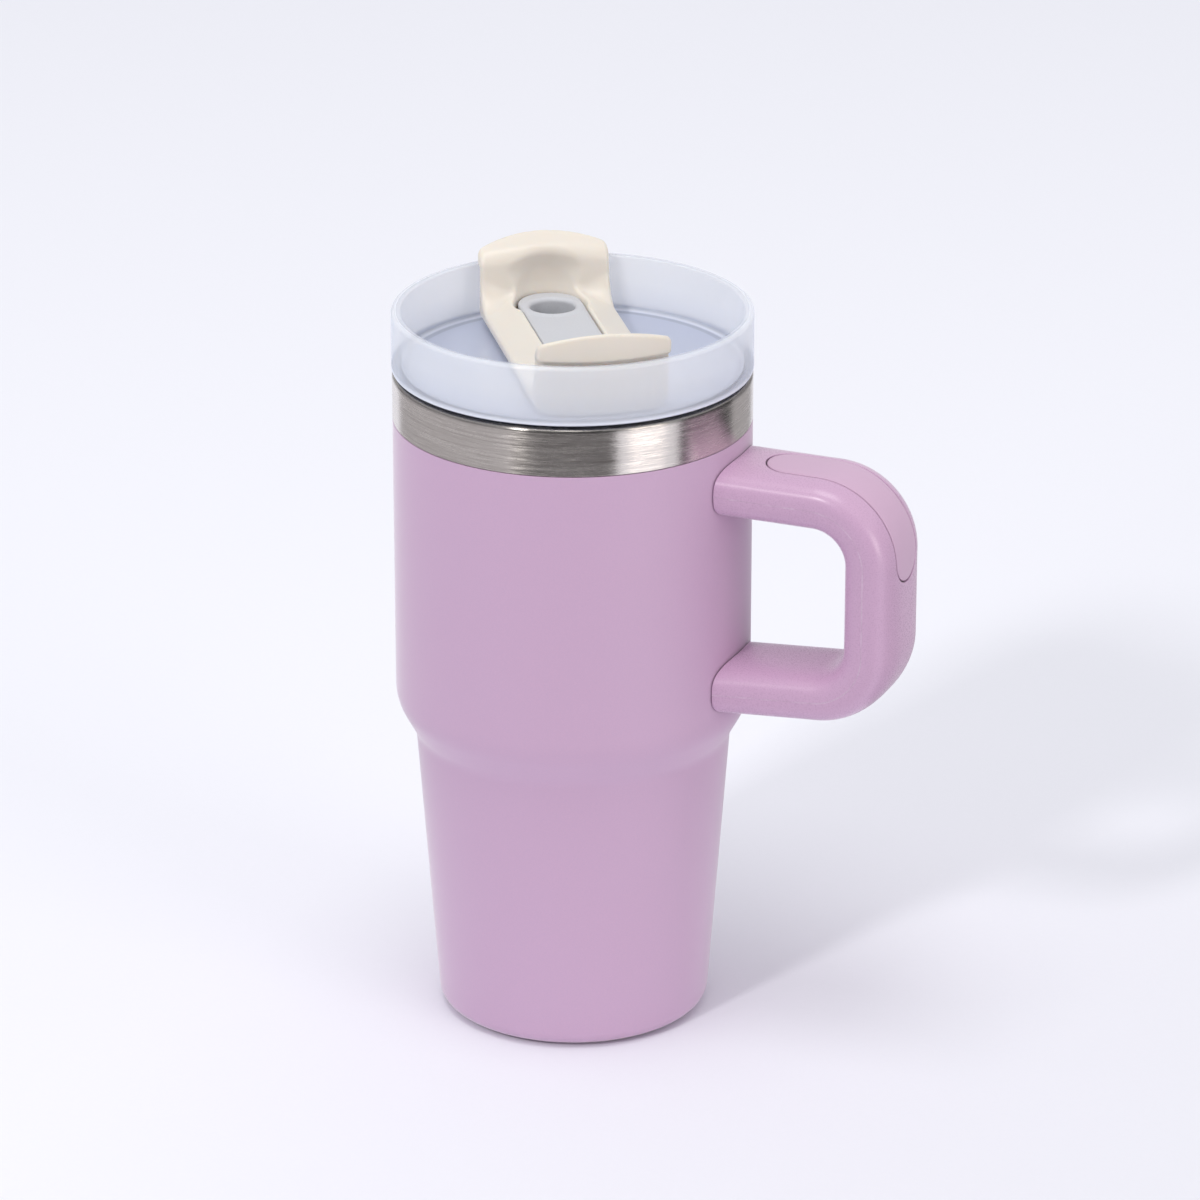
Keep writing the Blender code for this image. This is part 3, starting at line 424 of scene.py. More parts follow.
# %% Brushed steel finish
steel = Finish("brushed_steel", metallic=1.0, anisotropic=1.0, anisotropic_rotation=0.25)
brush = steel.noise(1.0, 4, (40, 40, 2600))
fine_brush = steel.noise(1.0, 3, (260, 260, 5200))
streaks = steel.ramp(brush * 0.55 + fine_brush * 0.45, (0.36, 0.0), (0.64, 1.0))
dirt = steel.specks(420, 0.09) * (steel.noise(60, 1) > 0.60)
bare = steel.blend(streaks, (0.66, 0.615, 0.580), (0.97, 0.915, 0.870))
lip_shade = steel.fade(steel.height(), 0.1676, 0.1684)
shaded_lip = steel.blend(lip_shade * 0.6, bare, (0.14, 0.135, 0.13))
steel_tone = steel.blend(dirt * 0.6, shaded_lip, (0.16, 0.14, 0.13))
steel.paint(colour=steel_tone, roughness=0.17 + streaks * 0.13)
steel.bump(streaks, 0.35, 0.03 * MM)
print(steel.material.name)

# %% [markdown]
# ## Liner, band and base plate
# One sheet makes the inside of the cup, the rolled lip and the bare band on the outside, so it is one
# turned outline from the middle of the floor, over the lip and back under the floor.

# %% Liner and base plate
FLOOR = 11.2
FLOOR_ROUND = 7
INSET = 3.8
MOUTH = 41.5
MOUTH_LEVEL = 164.5
NECK_LEVEL = 154.0
RIM = 168.9
LIP = 0.8
cone = (WAIST - FOOT) / (WAIST_LEVEL - FOOT_LEVEL)
liner_floor = FOOT + cone * (FLOOR - FOOT_LEVEL) - INSET
liner = [
    (0, FLOOR, 0),
    (liner_floor, FLOOR, FLOOR_ROUND),
    (WAIST - INSET, WAIST_LEVEL + INSET / 2, WAIST_ROUND),
    (CUP - INSET, SHOULDER_LEVEL + INSET / 2, SHOULDER_ROUND),
    (CUP - INSET, NECK_LEVEL, 2),
    (MOUTH, MOUTH_LEVEL, 2),
    (MOUTH, RIM, LIP),
    (CUP, RIM, LIP),
    (CUP, PAINT_END, 0.1),
    (CUP - SHEET, PAINT_END, 0.1),
    (CUP - SHEET, RIM - SHEET, LIP - SHEET),
    (MOUTH + SHEET, RIM - SHEET, LIP - SHEET),
    (MOUTH + SHEET, MOUTH_LEVEL, 2),
    (CUP - INSET + SHEET, NECK_LEVEL, 2),
    (CUP - INSET + SHEET, SHOULDER_LEVEL + INSET / 2, SHOULDER_ROUND),
    (WAIST - INSET + SHEET, WAIST_LEVEL + INSET / 2, WAIST_ROUND),
    (liner_floor + SHEET, FLOOR - SHEET, FLOOR_ROUND + SHEET),
    (0, FLOOR - SHEET, 0),
]
turned("steel_liner", liner, steel, "cup", ["inner_liner"], "steel", closed=False, steps=224)
plate = [
    (0, 0.6, 0),
    (29.1, 0.6, 0.3),
    (29.1, 2.6, 0.1),
    (29.7, 2.6, 0.1),
    (29.7, 0, 0.6),
    (0, 0, 0),
]
turned("base_plate", plate, steel, "cup", ["base_cover"], "steel", closed=False)

# %% [markdown]
# ## Handle finishes
# The handle is moulded in the wall's colour with a finer, smoother skin. Where its two halves meet, a
# hair of squeezed-out plastic shows as a broken pale line. It is painted paler partly for the flash's own
# colour and partly as a painted highlight where it catches the light. The halves carry a seam value on
# their points for it, and a second value that darkens the floor of the recess with painted shade. The
# inlay is the same lilac in a softer rubber.

# %% Handle finishes
moulded = Finish("moulded_handle", specular_ior_level=0.5, sheen_weight=0.35, sheen_roughness=0.35)
grain = moulded.noise(3200, 2)
seam = moulded.node("Attribute", {"attribute_name": "seam"}, output="Fac")
broken = moulded.ramp(moulded.noise(260, 2), (0.40, 0.25), (0.58, 1.0))
lilac = moulded.blend(grain, (0.572, 0.372, 0.546), (0.618, 0.402, 0.580))
# Painted shade: the recess floor, marked on the handle's points, is darkened.
groove = moulded.node("Attribute", {"attribute_name": "groove"}, output="Fac")
lilac_with_groove_shade = moulded.blend(groove * 0.55, lilac, (0.13, 0.075, 0.11))
# The seam's pale line is partly the flash's own paler colour and partly a painted highlight.
handle_tone = moulded.blend(seam * broken * 0.5, lilac_with_groove_shade, (0.86, 0.72, 0.85))
moulded.paint(colour=handle_tone, roughness=0.23 + grain * 0.10)
moulded.bump(grain, 0.06, 0.03 * MM)

inlay = Finish("soft_inlay", specular_ior_level=0.45, sheen_weight=0.15, sheen_roughness=0.5)
skin = inlay.noise(4200, 3)
worn = inlay.noise(55, 3)
inlay_tone = inlay.blend(skin, (0.590, 0.392, 0.550), (0.645, 0.428, 0.594))
worn_tone = inlay.blend(worn * 0.3, inlay_tone, (0.590, 0.425, 0.570))
inlay.paint(colour=worn_tone, roughness=0.42 + skin * 0.14)
inlay.bump(skin, 0.25, 0.03 * MM)
print(moulded.material.name, inlay.material.name)

# %% [markdown]
# ## Handle path
# The handle follows a line in the XZ plane: out along the upper arm, round a bend, down the grip, round a
# second bend and back along the lower arm, which drops a little towards the cup. Any point on it is given
# by a length along that line, a depth outwards from it and a distance across, so a section can be carried
# along it as arrays.

# %% Handle path
GRIP = 81.6
UPPER = 146.0
UPPER_BEND = 14.3
LOWER_BEND = 13.8
RISE = math.radians(4.5)
ROOT = CUP + 0.4
ROOT_ROWS = 4
LOWER = 94.0
LOWER_FROM = 43.0
lower_corner = LOWER + (GRIP - LOWER_FROM) * math.tan(RISE)
lower_turn = math.pi / 2 - RISE
lower_start = lower_corner + LOWER_BEND * math.tan(lower_turn / 2)
bend_end = UPPER_BEND * math.pi / 2
grip_end = bend_end + (UPPER - UPPER_BEND) - lower_start
path_end = grip_end + LOWER_BEND * lower_turn


def handle_point(length, depth, across):
    """Points at (length, depth, across) in millimetres, counted from the start of the upper bend.

    On a straight run the point moves along it. In a bend it turns about the bend's centre.
    """
    first = np.clip(length, 0, bend_end) / UPPER_BEND
    second = np.clip(length - grip_end, 0, LOWER_BEND * lower_turn) / LOWER_BEND
    turn = math.pi / 2 - first - second
    normal = np.stack([np.cos(turn), np.sin(turn)])
    x = GRIP - UPPER_BEND + np.minimum(length, 0) + UPPER_BEND * np.sin(first)
    z = UPPER - UPPER_BEND * (1 - np.cos(first)) - np.clip(length - bend_end, 0, grip_end - bend_end)
    x = x - LOWER_BEND * (1 - np.cos(second))
    z = z - LOWER_BEND * np.sin(second)
    past = np.maximum(length - path_end, 0)
    x = x - past * math.cos(RISE) + normal[0] * depth
    z = z - past * math.sin(RISE) + normal[1] * depth
    return np.stack([x, across + 0 * x, z], -1) * MM


def handle_lengths(lengths, depth, across):
    """One row of lengths per station, with rows added at both ends that run up to the round cup.

    The upper root is where x = sqrt(ROOT^2 - across^2), and the lower one is the same along the tilted arm.
    """
    cup_x = np.sqrt(ROOT**2 - across**2)
    first = cup_x - (GRIP - UPPER_BEND)
    end = handle_point(np.array([path_end]), 0, 0)[0] / MM
    last = path_end + (end[0] + depth * math.sin(RISE) - cup_x) / math.cos(RISE)
    share = np.linspace(0, 1, ROOT_ROWS, endpoint=False)[:, None]
    top = first * (1 - share) + lengths[0] * share
    low = last * (1 - share) + lengths[-1] * share
    return np.concatenate([top, lengths[:, None] + 0 * across, low[::-1]])


print("handle line is", round(path_end, 1), "mm from bend to bend")

# %% [markdown]
# ## Inlay
# The inlay is a soft strip with round ends that is pressed into the outer half. Seen flat it is a
# stadium: every point is a point of its middle line plus a direction times the half width. Shrinking that
# half width row by row gives the rounded edge and the top.

# %% Inlay
PAD = 6.5
PAD_GAP = 0.42
PAD_DEPTH = 1.2
HALF_DEPTH = 6.75
HALF_WIDTH = 13.3
SQUARENESS = 3.0
PAD_FROM_X = 52.0
PAD_TO_LEVEL = 126.8
PAD_ROUND = 0.3
pad_start = PAD_FROM_X - (GRIP - UPPER_BEND)
pad_end = bend_end + (UPPER - UPPER_BEND) - PAD_TO_LEVEL


def skin_depth(across):
    """Depth D (1 - |a / A|^n)^(1 / n) of the handle's squared-ellipse section at a distance a across it."""
    left_over = np.maximum(1 - np.abs(across / HALF_WIDTH) ** SQUARENESS, 0)
    return HALF_DEPTH * left_over ** (1 / SQUARENESS)


def stadium(start, end, along=90, around=28):
    """The closed middle line and outward directions of a stadium: (place on the line, along, across)."""
    line = np.linspace(start, end, along)
    half_turn = np.linspace(-math.pi / 2, math.pi / 2, around)[1:-1]
    place = np.concatenate([line, 0 * half_turn + end, line[::-1], 0 * half_turn + start])
    sides = 0 * line + math.pi / 2
    turn = np.concatenate([sides, -half_turn, -sides, math.pi - half_turn])
    return place, np.cos(turn), np.sin(turn)


place, along, across = stadium(pad_start + PAD, pad_end - PAD)
edge = np.linspace(0, math.pi / 2, 6)
under_inset = [PAD, 0.2, 0.0]
under_rise = [-PAD_DEPTH, -PAD_DEPTH, 0.2 - PAD_DEPTH]
top_inset = [1.2, 2.4, 3.6, 5.0, PAD]
top_rise = [0.02, 0.04, 0.05, 0.05, 0.05]
inset = np.concatenate([under_inset, PAD_ROUND * (1 - np.cos(edge)), top_inset])[:, None]
rise = np.concatenate([under_rise, PAD_ROUND * np.sin(edge) - PAD_ROUND, top_rise])[:, None]
pad_along = (PAD - inset) * along
pad_across = (PAD - inset) * across
pad_points = handle_point(place + pad_along, skin_depth(pad_across) + rise, pad_across)
pad_quads = grid_quads(len(inset), len(place), False, True)
piece("grip_inlay", pad_points, pad_quads, inlay, "cup", ["grip_pad"], "soft_inlay", sharp=60)

# %% [markdown]
# ## Handle halves
# The handle is moulded as two C-shaped halves that meet at a seam along its sides, because one hollow
# loop can't come out of a mould. Each half is a section carried along the line. The outer one has a
# recess for the inlay, so its section changes from station to station, and the stations crowd together at
# the recess's round ends.

# %% Handle halves
SEAM = 0.02
FLAT = 7.4
RIM_ROUND = 0.25
CAVITY_WIDTH = 9.0
CAVITY_DEPTH = 3.6
CAVITY_ROUND = 2.5
RECESS_MORE = 0.3
recess_start = pad_start - PAD_GAP
recess_end = pad_end + PAD_GAP


def recess_width(length):
    """Half width of the recess: constant between two round ends of that radius, and 0 outside them."""
    half = PAD + PAD_GAP
    from_end = np.minimum(length - recess_start, recess_end - length) / half
    return half * np.sqrt(np.clip(1 - (1 - np.clip(from_end, 0, 1)) ** 2, 0, 1))


def half_section(lengths, recessed):
    """(depth, across) of one half: rows are stations, columns go round the C-shaped section.

    The side is (D sin(t)^(2/n), A cos(t)^(2/n)), then come the top, the recess's rim and its floor, and the
    mirror image of all that. The cavity closes the section. A third array marks the recess's floor.
    """
    rows = np.ones((len(lengths), 1))
    width = recess_width(lengths)[:, None] if recessed else 0 * rows
    dip = np.where(width > 0, PAD_DEPTH + RECESS_MORE, 0.0)
    power = 2 / SQUARENESS
    turn = np.linspace(0.03, math.acos((FLAT / HALF_WIDTH) ** (1 / power)), 18)
    side_across = np.concatenate([[HALF_WIDTH, HALF_WIDTH], HALF_WIDTH * np.cos(turn) ** power])
    side_depth = np.concatenate([[SEAM, 0.22], HALF_DEPTH * np.sin(turn) ** power])
    edge = width + RIM_ROUND
    top_across = edge + (FLAT - edge) * np.array([0.8, 0.6, 0.4, 0.2])
    rim = np.linspace(0, math.pi / 2, 4)
    rim_across = width + RIM_ROUND * (1 - np.sin(rim))
    rim_depth = skin_depth(rim_across) - np.minimum(RIM_ROUND, dip) * (1 - np.cos(rim))
    wide = np.concatenate([side_across * rows, top_across, rim_across, width], 1)
    floor_depth = skin_depth(width) - dip
    depth = np.concatenate([side_depth * rows, skin_depth(top_across), rim_depth, floor_depth], 1)
    cavity_corners = [
        (SEAM, -CAVITY_WIDTH, 0),
        (CAVITY_DEPTH, -CAVITY_WIDTH, CAVITY_ROUND),
        (CAVITY_DEPTH, CAVITY_WIDTH, CAVITY_ROUND),
        (SEAM, CAVITY_WIDTH, 0),
    ]
    cavity = outline(cavity_corners, False) / MM
    depth = np.concatenate([depth, depth[:, ::-1], cavity[:, 0] * rows], 1)
    mark = np.zeros(wide.shape)
    mark[:, -1] = (dip > 0)[:, 0]
    floor_mark = np.concatenate([mark, mark[:, ::-1], np.zeros((len(lengths), len(cavity)))], 1)
    wide = np.concatenate([wide, -wide[:, ::-1], cavity[:, 1] * rows], 1)
    return depth, wide, floor_mark


def round_end(start, direction):
    """Stations that crowd together towards a round end of the recess."""
    turn = np.linspace(0, math.pi / 2, 22)
    return start + direction * (PAD + PAD_GAP) * (1 - np.cos(turn))


def handle_half(name, sign, lengths, replaced):
    """A C-shaped section carried along the handle's line. Sign is 1 outside the loop and -1 inside."""
    depth, wide, floor_mark = half_section(lengths, sign > 0)
    repeats = [ROOT_ROWS + 1] + [1] * (len(lengths) - 2) + [ROOT_ROWS + 1]
    station = np.repeat(np.arange(len(lengths)), repeats)
    run = handle_lengths(lengths, sign * depth[0], wide[0])
    points = handle_point(run, sign * depth[station], wide[station])
    rows, columns = depth[station].shape
    faces = grid_quads(rows, columns, False, True).tolist()
    faces.append(list(range(columns)))
    faces.append(list(range((rows - 1) * columns, rows * columns)))
    at_seam = (np.abs(depth[station]) < 2 * SEAM) & (np.abs(wide[station]) > HALF_WIDTH - 0.5)
    # The recess floor's mark carries the painted shade of the groove.
    values = {"seam": at_seam, "groove": floor_mark[station]}
    looks = {"finish": moulded, "slot": "moulded_handle", "sharp": 40, "values": values}
    return piece(name, points, faces, body="cup", replaced=replaced, **looks)


bends = [np.linspace(0, bend_end, 37), np.linspace(grip_end, path_end, 35)]
straight = np.linspace(bend_end, grip_end, 8)[1:-1]
plain = np.concatenate([[-18.0, -9.0], bends[0], straight, bends[1], [path_end + 4.0]])
tip = 0.001
ends = [round_end(recess_start, 1), round_end(recess_end, -1)]
tips = [[recess_start - tip], [recess_end + tip]]
outer_lengths = np.unique(np.round(np.concatenate([plain] + ends + tips), 4))
outer_half = handle_half("handle_outside", 1, outer_lengths, ["handle_outer_half"])
handle_half("handle_inside", -1, plain, ["handle_inner_half"])

# %% [markdown]
# ## Milky lid
# The lid is clear plastic with a white, bluish haze. Its thin wall lets part of the picture behind it
# through, which an Alpha value gives, and subsurface light and a sheen give the glow of the haze. The
# thick deck is opaque here. Its darker disc is painted shade that stands for the dark inside of the cup
# showing through it, the lid is painted darker towards its bottom as painted shade, and the dark lower
# edge is a painted shadow between lid and steel. The seals are grey silicone with a little dust.

# %% Milky finish
milky = Finish("milky_lid", ior=1.46, subsurface_weight=0.35, sheen_weight=1.0, sheen_roughness=0.35)
milky.shader.inputs["Subsurface Radius"].default_value = (0.85, 0.92, 1.0)
milky.shader.inputs["Subsurface Scale"].default_value = 3 * MM
milky.shader.inputs["Sheen Tint"].default_value = (0.80, 0.86, 1.0, 1.0)
haze = milky.noise(38, 3)
height = milky.height()
low_part = milky.fade(height, 0.178, 0.1695)
thick = milky.fade(height, 0.1713, 0.1703)
foot = milky.fade(height, 0.1702, 0.1698)
flat = milky.node("VectorMath", {"operation": "MULTIPLY"}, {0: milky.place, 1: (1, 1, 0)})
from_axis = milky.node("VectorMath", {"operation": "LENGTH"}, {0: flat}, output="Value")
disc_part = milky.fade(from_axis, 0.0420, 0.0414)
outside = milky.fade(from_axis, 0.0400, 0.0405)
clear_tone = milky.blend(haze * 0.6, (0.875, 0.905, 1.0), (0.905, 0.930, 1.0))
# Painted shade and shadow: darker towards the bottom, a darker disc on the deck and a dark lower edge.
shaded = milky.blend(low_part * 0.4, clear_tone, (0.64, 0.69, 0.88))
deck_tone = milky.blend(thick * disc_part * 0.85, shaded, (0.43, 0.465, 0.595))
lid_tone = milky.blend(foot * outside * 0.6, deck_tone, (0.14, 0.147, 0.17))
inner_side = from_axis < 0.0433
see_through = 0.54 - inner_side * 0.22
opaque = see_through + thick * (1.0 - see_through)
milky.paint(colour=lid_tone, roughness=0.14 + haze * 0.10, alpha=opaque)

silicone = Finish("grey_silicone", specular_ior_level=0.45)
dust = silicone.noise(2400, 2)
fleck = silicone.specks(900, 0.10) * (silicone.noise(140, 1) > 0.62)
rubber = silicone.blend(dust, (0.555, 0.567, 0.607), (0.618, 0.628, 0.665))
seal_tone = silicone.blend(fleck * 0.35, rubber, (0.36, 0.36, 0.38))
silicone.paint(colour=seal_tone, roughness=0.40 + dust * 0.15)
silicone.bump(dust, 0.12, 0.03 * MM)
print(milky.material.name, silicone.material.name)

# %% [markdown]
# ## Lid
# The lid is one moulding: a tall rim to drink over, a flat deck and a skirt with a channel for its seal.
# All of it is round, so it is one turned outline with a hole for the pivot in the middle.

# %% Lid
LID = 44.5
LID_TOP = 184.5
DECK = 170.0
LID_INSIDE = 42.1
SKIRT = 39.0
SKIRT_INSIDE = 37.0
SKIRT_LOW = 158.0
CHANNEL = 37.9
CHANNEL_TOP = 165.6
CHANNEL_LOW = 160.4
PIVOT_HOLE = 4.9
DECK_THICK = 2.0
lid_corners = [
    (LID, LID_TOP, 0.9),
    (LID, RIM + 1.0, 0.3),
    (41.6, RIM + 0.4, 0.3),
    (SKIRT, RIM + 0.4, 0.3),
    (SKIRT, CHANNEL_TOP, 0.1),
    (CHANNEL, CHANNEL_TOP, 0.1),
    (CHANNEL, CHANNEL_LOW, 0.1),
    (SKIRT, CHANNEL_LOW, 0.1),
    (SKIRT, SKIRT_LOW, 0.4),
    (SKIRT_INSIDE, SKIRT_LOW, 0.4),
    (SKIRT_INSIDE, DECK - DECK_THICK, 0.8),
    (PIVOT_HOLE, DECK - DECK_THICK, 0.15),
    (PIVOT_HOLE, DECK, 0.15),
    (LID_INSIDE, DECK, 0.9),
    (LID_INSIDE, LID_TOP, 0.5),
]
lid = turned("lid_moulding", lid_corners, milky, "lid", ["lid_body"], "milky_lid", steps=224)

# %% [markdown]
# ## Straw hole
# The straw goes through a round hole in the deck, off the axis, so the turned outline can't give it. A
# drill is made as a plain cylinder and taken away from the lid.


# %% Straw hole
def bored(made, radius, low, high, place, sides=72):
    """Bores a round hole through a piece with a Boolean, and keeps the result as its mesh."""
    cage = bmesh.new()
    middle = place @ Matrix.Translation((0, 0, (low + high) / 2 * MM))
    rod = {"radius1": radius * MM, "radius2": radius * MM, "depth": (high - low) * MM}
    bmesh.ops.create_cone(cage, cap_ends=True, segments=sides, matrix=middle, **rod)
    drill_mesh = bpy.data.meshes.new("drill")
    cage.to_mesh(drill_mesh)
    cage.free()
    drill = bpy.data.objects.new("drill", drill_mesh)
    scene.collection.objects.link(drill)
    bore = made.modifiers.new("bore", "BOOLEAN")
    bore.operation = "DIFFERENCE"
    bore.object = drill
    bore.solver = "EXACT"
    bpy.context.view_layer.update()
    evaluated = made.evaluated_get(bpy.context.evaluated_depsgraph_get())
    result = bpy.data.meshes.new_from_object(evaluated)
    made.modifiers.remove(bore)
    made.data = result
    made.data.set_sharp_from_angle(angle=math.radians(35))
    bpy.data.objects.remove(drill)
    print(made.name, "bored:", len(result.polygons), "faces")


COVER_TURN = math.radians(125)
STRAW = 25.3
STRAW_BORE = 6.0
straw_x = STRAW * MM * math.cos(COVER_TURN)
straw_y = STRAW * MM * math.sin(COVER_TURN)
bored(lid, STRAW_BORE, DECK - 6, DECK + 4, Matrix.Translation((straw_x, straw_y, 0)))

# %% [markdown]
# ## Seal ring
# A silicone ring in the skirt's channel has two thin lips that press on the inside of the mouth. They are
# drawn as they lie, in the same outline as the ring.

# %% Seal ring
RING_INSIDE = 38.2
RING = 39.6
RING_LIP = 40.8
RING_TOP = 165.3
RING_LOW = 160.7
ring_line = [(RING_INSIDE, RING_TOP), (RING, RING_TOP)]
for lip in (164.8, 162.5):
    ring_line += [(RING_LIP, lip), (RING_LIP, lip - 0.5), (RING, lip - 1.1)]
ring_line += [(RING, RING_LOW), (RING_INSIDE, RING_LOW)]
gasket_corners = [(r, z, 0.2) for r, z in ring_line]
turned("lid_seal_ring", gasket_corners, silicone, "lid", ["lid_gasket"], "grey_silicone")

# %% [markdown]
# ## Screw plug
# Under the lower arm a soft plug closes the pocket of the screw that holds the handle. The pocket is
# bored square to the tilted arm, and the plug is turned about the same axis.

# %% Screw plug
SCREW_X = 58
POCKET = 3.75
PLUG = 3.5
PLUG_LOW = 5.3
arm_level = LOWER + (SCREW_X - LOWER_FROM) * math.tan(RISE)
lower_place = Matrix.Translation((SCREW_X * MM, 0, arm_level * MM))
lower_place = lower_place @ Matrix.Rotation(-RISE, 4, "Y") @ Matrix.Rotation(math.pi, 4, "X")
bored(outer_half, POCKET, 4.9, 9.0, lower_place)
plug = [(0, HALF_DEPTH, 0), (PLUG, 6.68, 0.3), (PLUG, PLUG_LOW, 0), (0, PLUG_LOW, 0)]
shape = {"closed": False, "steps": 72, "place": lower_place}
turned("screw_plug", plug, inlay, "cup", ["lower_screw_plug"], "soft_inlay", **shape)

# %% [markdown]
# ## Cream cover
# The turning cover is moulded in cream plastic with a half-gloss skin. A little subsurface light softens
# its shadows, and a very low, wide noise stops its highlights from being perfectly even, as on any
# moulding that has shrunk a little while it cooled.

# %% Cream finish
cream = Finish("cream_plastic", specular_ior_level=0.5, subsurface_weight=0.6)
cream.shader.inputs["Subsurface Radius"].default_value = (1.0, 0.8, 0.6)
cream.shader.inputs["Subsurface Scale"].default_value = 2 * MM
cream_skin = cream.noise(1900, 2)
cream_cloud = cream.noise(60, 2)
cream_tone = cream.blend(cream_cloud, (0.750, 0.698, 0.626), (0.790, 0.744, 0.676))
cream.paint(colour=cream_tone, roughness=0.30 + cream_skin * 0.10)
cream.bump(cream_cloud, 0.08, 0.1 * MM)
print(cream.material.name)

# %% [markdown]
# ## Solids from distance fields
# The cover is full of soft joins: arms that swell into tabs, a slot that ends in two scooped pockets.
# Such a moulding is easier to state as a distance field than as a grid: a number negative inside and
# positive outside. Two fields are joined or cut with a round of a chosen radius. A skin is then laid over
# the zero level: one point in each cell that it passes through, moved onto it, and one quad over each
# grid edge that it crosses.


# %% Distance fields
def join(first, second, radius):
    """Union of two fields with a concave round: max(r, min(a, b)) - |(max(r - a, 0), max(r - b, 0))|."""
    gap = np.hypot(np.maximum(radius - first, 0), np.maximum(radius - second, 0))
    return np.maximum(radius, np.minimum(first, second)) - gap


def common(first, second, radius):
    """What two fields share, with a convex round: the union of their outsides, turned inside out."""
    return -join(-first, -second, radius)


def step_up(value, low, high):
    """0 below low, 1 above high, and t^2 (3 - 2 t) between."""
    share = np.clip((value - low) / (high - low), 0, 1)
    return share * share * (3 - 2 * share)


def part(array, axis, start, stop):
    """The slice of an array from start to stop along one axis."""
    window = [slice(None)] * 3
    window[axis] = slice(start, stop)
    return array[tuple(window)]


def field_skin(field, low, high, cell):
    """Points and quads of a field's zero level, from a grid of cells over the box from low to high."""
    axes = [np.arange(start, end + cell, cell) for start, end in zip(low, high)]
    value = field(*np.meshgrid(*axes, indexing="ij"))
    shape = tuple(count - 1 for count in value.shape)
    total = np.zeros((3, *shape))
    hits = np.zeros(shape)
    crossings = []
    for axis in range(3):
        near = part(value, axis, 0, -1)
        far = part(value, axis, 1, None)
        crossed = (near < 0) != (far < 0)
        share = np.where(crossed, near / np.where(crossed, near - far, 1), 0)
        first, second = [other for other in range(3) if other != axis]
        crossings.append((axis, first, second, crossed))
        for up in (0, 1):
            for over in (0, 1):
                sides = [(first, up), (second, over)]
                hit, along = crossed, share
                for other, shift in sides:
                    hit = part(hit, other, shift, shape[other] + shift)
                    along = part(along, other, shift, shape[other] + shift)
                total[axis] += along
                total[first] += hit * up
                total[second] += hit * over
                hits += hit
    used = hits > 0
    number = np.full(shape, -1)
    number[used] = np.arange(used.sum())
    points = (np.argwhere(used) + (total[:, used] / hits[used]).T) * cell + np.array(low)
    quads = []
    for axis, first, second, crossed in crossings:
        inner = part(part(crossed, first, 1, -1), second, 1, -1)
        corner = []
        for up, over in ((0, 0), (1, 0), (1, 1), (0, 1)):
            shifted = part(number, first, up, shape[first] - 1 + up)
            corner.append(part(shifted, second, over, shape[second] - 1 + over)[inner])
        quads.append(np.stack(corner, -1))
    tiny = 0.02
    for _ in range(4):
        here = field(*points.T)
        ways = tiny * np.eye(3)
        change = [field(*(points + way).T) - field(*(points - way).T) for way in ways]
        slope = np.stack(change, -1) / (2 * tiny)
        points = points - slope * (here / np.maximum((slope**2).sum(-1), 0.2))[:, None]
    return points, np.concatenate(quads)


print("field helpers ready")

# %% [markdown]
# ## Cover
# The cover's field is written in its own directions: b along the bar, c across it and z up. The bar has a
# tab at each end that leans over the lid's rim. Below the lean the ends follow the inside of the lid's
# wall. A pocket scooped into each tab makes room for a fingertip, and the boss and the peg go down into
# the lid.

# %% Cover
COVER_LOW = 170.4
COVER_HALF = 16.5
CHAMFER_LEVEL = 172.6
ARM_TOP = 177.5
ROOF_SLOPE = 0.38
SLOT = 8.3
SLOT_MIDDLE = 28.45
SLOT_TOP = 180.0
SCOOP = 10.0
SCOOP_MIDDLE = 26.9
SCOOP_LEVEL = 180.35
TAB_TOP = 191.8
TAB_FOOT = 33.5
TAB_REACH = 41.0
TAB_SLOPE = 0.42
TAB_ARCH = 92.0
WELL_REACH = 38.6
LEAN_LEVEL = 184.6
BRIDGE = 10.0
BRIDGE_HALF = 9.2
BRIDGE_TOP = 172.4
BOSS = 4.5
BOSS_LOW = 166.2
PEG = 1.2
PEG_PLACE = 11.5
PEG_LOW = 169.4
PEG_TOP = 171.5


